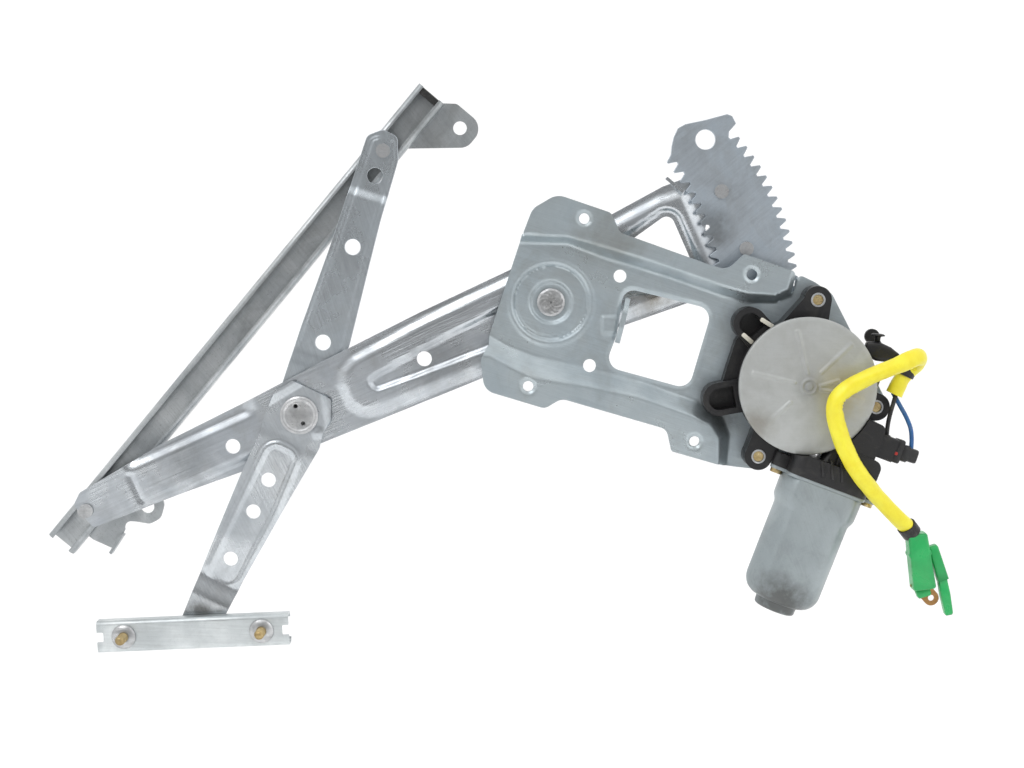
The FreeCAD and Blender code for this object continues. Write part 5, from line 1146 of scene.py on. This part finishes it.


# %% [markdown]
# The zinc on this object is not one metal: the plate is a dull green-grey, the arms are brighter
# and drawn along their length, and the glass rail is a darker grey with heavier dirt all over. Oil
# and road dirt darken the lower edges. Each finish is one row: its two greys, its dirt, and what
# else sets it apart.

# %% Metals
# The fourth colour, near black, is painted shade for the two dimples of the cross rivet.
BROWN, SOOT, GREASE, DIMPLE_SHADE = (112, 102, 84), (72, 70, 66), (170, 158, 112), (26, 26, 28)
METALS = {
    "plate_zinc": ((190, 200, 204), (168, 179, 185), BROWN, dict(
        cloud=26.0, turn=-18, metal=0.68, smoothness=(0.26, 0.44), dirty=0.22, lines=0.2,
        stains_and_shade=[((0.050, 0.008, -0.050), 0.022, SOOT, 0.55),
                ((-0.020, 0.0, 0.056), 0.03, BROWN, 0.3),
                ((-0.053, 0.012, 0.017), 0.013, SOOT, 0.4)])),
    "arm_zinc": ((218, 223, 227), (182, 188, 194), BROWN, dict(
        turn=24.2, metal=0.95, smoothness=(0.2, 0.36), dirty=0.22, lines=0.3,
        stains_and_shade=[((0.008, 0.015, 0.036), 0.035, BROWN, 0.8),
                ((-0.275, 0.015, -0.080), 0.025, SOOT, 0.25),
                ((-0.120, 0.015, -0.020), 0.03, SOOT, 0.25)])),
    "rear_zinc": ((210, 217, 222), (178, 186, 192), BROWN, dict(
        turn=-72, metal=0.92, smoothness=(0.22, 0.38), dirty=0.15)),
    "front_zinc": ((216, 221, 225), (182, 188, 193), BROWN, dict(
        turn=-64, metal=0.95, smoothness=(0.2, 0.36), dirty=0.2,
        stains_and_shade=[((-0.268, 0.009, -0.180), 0.022, SOOT, 0.8)])),
    "sector_zinc": ((200, 209, 217), (174, 184, 193), BROWN, dict(
        cloud=60.0, dirty=0.25, turn=40, stains_and_shade=[((0.043, 0.012, 0.062), 0.02, SOOT, 0.5)])),
    "rail_zinc": ((198, 202, 204), (166, 171, 174), SOOT, dict(
        turn=-50, dirty=0.4, dirt_scale=24.0)),
    "guide_zinc": ((226, 231, 232), (198, 204, 206), SOOT, dict(turn=-2.4, dirty=0.2)),
    "bright_steel": ((214, 215, 216), (180, 182, 184), SOOT, dict(
        cloud=160.0, metal=0.9, smoothness=(0.26, 0.42),
        stains_and_shade=[((-0.2067, 0.0112, -0.0523), 0.0095, SOOT, 0.3),
                # The two small near-black spots sit in the cross rivet's dimples: painted shade
                # that makes the shallow dimples read as holes.
                ((-0.2088, 0.012, -0.0467), 0.0024, DIMPLE_SHADE, 0.95),
                ((-0.2044, 0.012, -0.0573), 0.0024, DIMPLE_SHADE, 0.95),
                ((-0.0532, 0.0098, 0.0167), 0.009, SOOT, 0.4)])),
    "core_steel": ((150, 150, 150), (110, 110, 110), SOOT, dict(cloud=120.0, metal=1.0)),
    "yellow_zinc": ((216, 196, 148), (178, 154, 108), BROWN, dict(
        cloud=260.0, metal=0.9, smoothness=(0.25, 0.45), dirty=0.4)),
    "bronze": ((190, 150, 100), (150, 112, 70), SOOT, dict(metal=1.0)),
    "copper": ((200, 130, 90), (150, 84, 52), SOOT, dict(metal=1.0)),
    "ferrite": ((92, 92, 95), (66, 66, 70), SOOT, dict(metal=0.3, smoothness=(0.5, 0.7))),
    "can_steel": ((166, 175, 178), (152, 161, 164), SOOT, dict(
        cloud=22.0, turn=-70, metal=0.5, smoothness=(0.34, 0.55), dirty=0.2, dirt_scale=60.0,
        lines=0.1, stains_and_shade=[((0.083, -0.020, -0.162), 0.03, SOOT, 0.75)])),
    "cover_paint": ((184, 187, 186), (170, 172, 170), BROWN, dict(
        cloud=44.0, metal=0.35, smoothness=(0.38, 0.55), dirty=0.12, lines=0.06,
        stains_and_shade=[((0.118, -0.022, -0.034), 0.024, GREASE, 0.5),
                ((0.098, -0.024, -0.032), 0.013, SOOT, 0.3),
                ((0.068, -0.020, -0.056), 0.016, BROWN, 0.45)])),
}
finishes = {name: zinc(name, *greys, **rest) for name, (*greys, rest) in METALS.items()}
print("metals:", len(finishes))

# %% Plastics, rubber and vinyl
PLASTICS = {
    "black_plastic": ((30, 30, 32), (22, 22, 24), dict(
        rough=(0.28, 0.5), dusty=0.18, dust=(96, 93, 86))),
    "grey_plastic": ((36, 36, 38), (26, 26, 28), {}),
    "red_plastic": ((186, 40, 32), (150, 28, 24), {}),
    # On the two housing ribs this white is a painted highlight.
    "white_plastic": ((228, 225, 212), (210, 206, 190), {}),
    "roller_plastic": ((70, 70, 70), (52, 52, 52), {}),
    "green_plastic": ((46, 182, 100), (36, 162, 88), dict(
        rough=(0.25, 0.4), dusty=0.1, dust=(120, 120, 90))),
    "yellow_vinyl": ((252, 242, 66), (246, 230, 52), dict(
        rough=(0.3, 0.45), fine=500.0, bump=0.12, cloud=90.0, dusty=0.12, dust=(170, 150, 70))),
    "blue_wire": ((48, 108, 168), (36, 88, 148), dict(bump=0.1)),
    "black_wire": ((34, 34, 36), (24, 24, 26), dict(bump=0.1)),
    "black_tape": ((40, 38, 36), (28, 27, 26), dict(fine=900.0)),
    "black_rubber": ((34, 34, 34), (24, 24, 24), dict(rough=(0.6, 0.8))),
}
for name, (*tones, rest) in PLASTICS.items():
    finishes[name] = moulded(name, *tones, **rest)
print("plastics:", len(PLASTICS))

# %% [markdown]
# A piece's slot names its finish. A few pieces share a slot and still look different, such as
# the two halves of the equalizer, so they have a finish of their own.

# %% Every piece gets its finish
OWN_FINISH = {
    "equalizer_front": "front_zinc", "equalizer_rear": "rear_zinc", "sector_gear": "sector_zinc",
    "guide_rail": "guide_zinc", "can_screws": "yellow_zinc", "connector_terminal": "bronze",
}
for piece in list(nodes.values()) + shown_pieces():
    slot = piece.get("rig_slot") or piece.data.materials[0].name.split(".")[0]
    finish = finishes[OWN_FINISH.get(piece.name, slot)]
    if piece.data.materials:
        piece.data.materials[0] = finish
    else:
        piece.data.materials.append(finish)
print("finishes:", len(finishes))

# %% [markdown]
# ## Floor, backdrop and light
# One pale sheet curves up from the floor to a wall behind the object. It still takes shadows,
# and a little of its brightness is its own, for the camera and for reflections only, so that
# it reads as white. It lies low enough for the arms to swing down over it. Two large soft lamps
# light the object, and the world is darker in front and behind, so that flat sheet reads grey
# and its slopes read bright.

# %% Floor and backdrop
FLOOR, WALL, CURVE = -362, 420, 220
NEAR_END, TOP_END, HALF_WIDTH = -2400, 2600, 2600
arc = np.linspace(0, np.pi / 2, 24)
profile = np.concatenate([
    [(NEAR_END, FLOOR)],
    np.stack([WALL - CURVE + CURVE * np.sin(arc), FLOOR + CURVE - CURVE * np.cos(arc)], 1),
    [(WALL, TOP_END)]])
sides = np.array([-HALF_WIDTH, HALF_WIDTH])
ground = np.stack([sides[None] + 0 * profile[:, :1], profile[:, :1] + 0 * sides[None],
                   profile[:, 1:] + 0 * sides[None]], -1)
backdrop = mesh_piece("floor_and_wall", ground.reshape(-1, 3) * MM,
                      quads(len(profile), 2)[:, ::-1])
paper, tree, shader = new_finish("pale_paper", Roughness=0.9)
seen = wired(tree, "LightPath").outputs
views = sums(tree, "MAXIMUM", seen["Is Camera Ray"], seen["Is Glossy Ray"])
views = sums(tree, "MAXIMUM", views, seen["Is Transmission Ray"])
OWN_GLOW = 0.22
shader.inputs["Base Color"].default_value = (0.86, 0.86, 0.86, 1)
shader.inputs["Emission Color"].default_value = (1, 1, 1, 1)
tree.links.new(sums(tree, "MULTIPLY", views, OWN_GLOW), shader.inputs["Emission Strength"])
backdrop.data.materials.append(paper)
print("backdrop:", len(backdrop.data.polygons), "faces")

# %% Lamps and world
def soft_lamp(name, place, target, width, power):
    """A square area lamp that looks at a target point."""
    data = bpy.data.lights.new(name, "AREA")
    data.size = width
    data.energy = power
    lamp = added(name, data)
    lamp.location = place
    aim = np.array(target) - np.array(place)
    lamp.rotation_euler = Vector(aim).to_track_quat("-Z", "Y").to_euler()


soft_lamp("key", (-0.9, -1.3, 1.4), (-0.05, 0, 0), 1.1, 9)
soft_lamp("fill", (1.2, -1.1, 0.6), (0, 0, -0.02), 1.3, 3)
print("lamps:", [lamp.name for lamp in bpy.data.lights])

# %% World
world = bpy.data.worlds.new("studio")
world.use_nodes = True
bpy.context.scene.world = world
tree = world.node_tree
background = tree.nodes["Background"]
facing = wired(tree, "SeparateXYZ", {0: wired(tree, "TexCoord").outputs["Generated"]}).outputs
lifted = wired(tree, "MapRange", {"Value": facing["Z"], "From Min": -1.0, "From Max": 1.0})
sky = ramp(tree, lifted.outputs[0], [(0.0, 0.78), (0.45, 0.8), (0.62, 0.92), (1.0, 1.0)])
ahead = sums(tree, "ABSOLUTE", facing["Y"])
around = ramp(tree, ahead, [(0.0, 1.0), (0.62, 0.95), (0.88, 0.6), (1.0, 0.26)])
path = wired(tree, "LightPath").outputs["Is Camera Ray"]
room = mixed(tree, 1.0, sky, around, blend="MULTIPLY")
tree.links.new(mixed(tree, path, room, (1, 1, 1, 1)), background.inputs["Color"])
background.inputs["Strength"].default_value = 1.1
bpy.context.scene.view_settings.view_transform = "Standard"
print("world:", world.name)

# %% [markdown]
# ## Last update
# The view layer is brought up to date. The dressed model has to stay inside the box of the
# imported model.

# %% Update
bpy.context.view_layer.update()
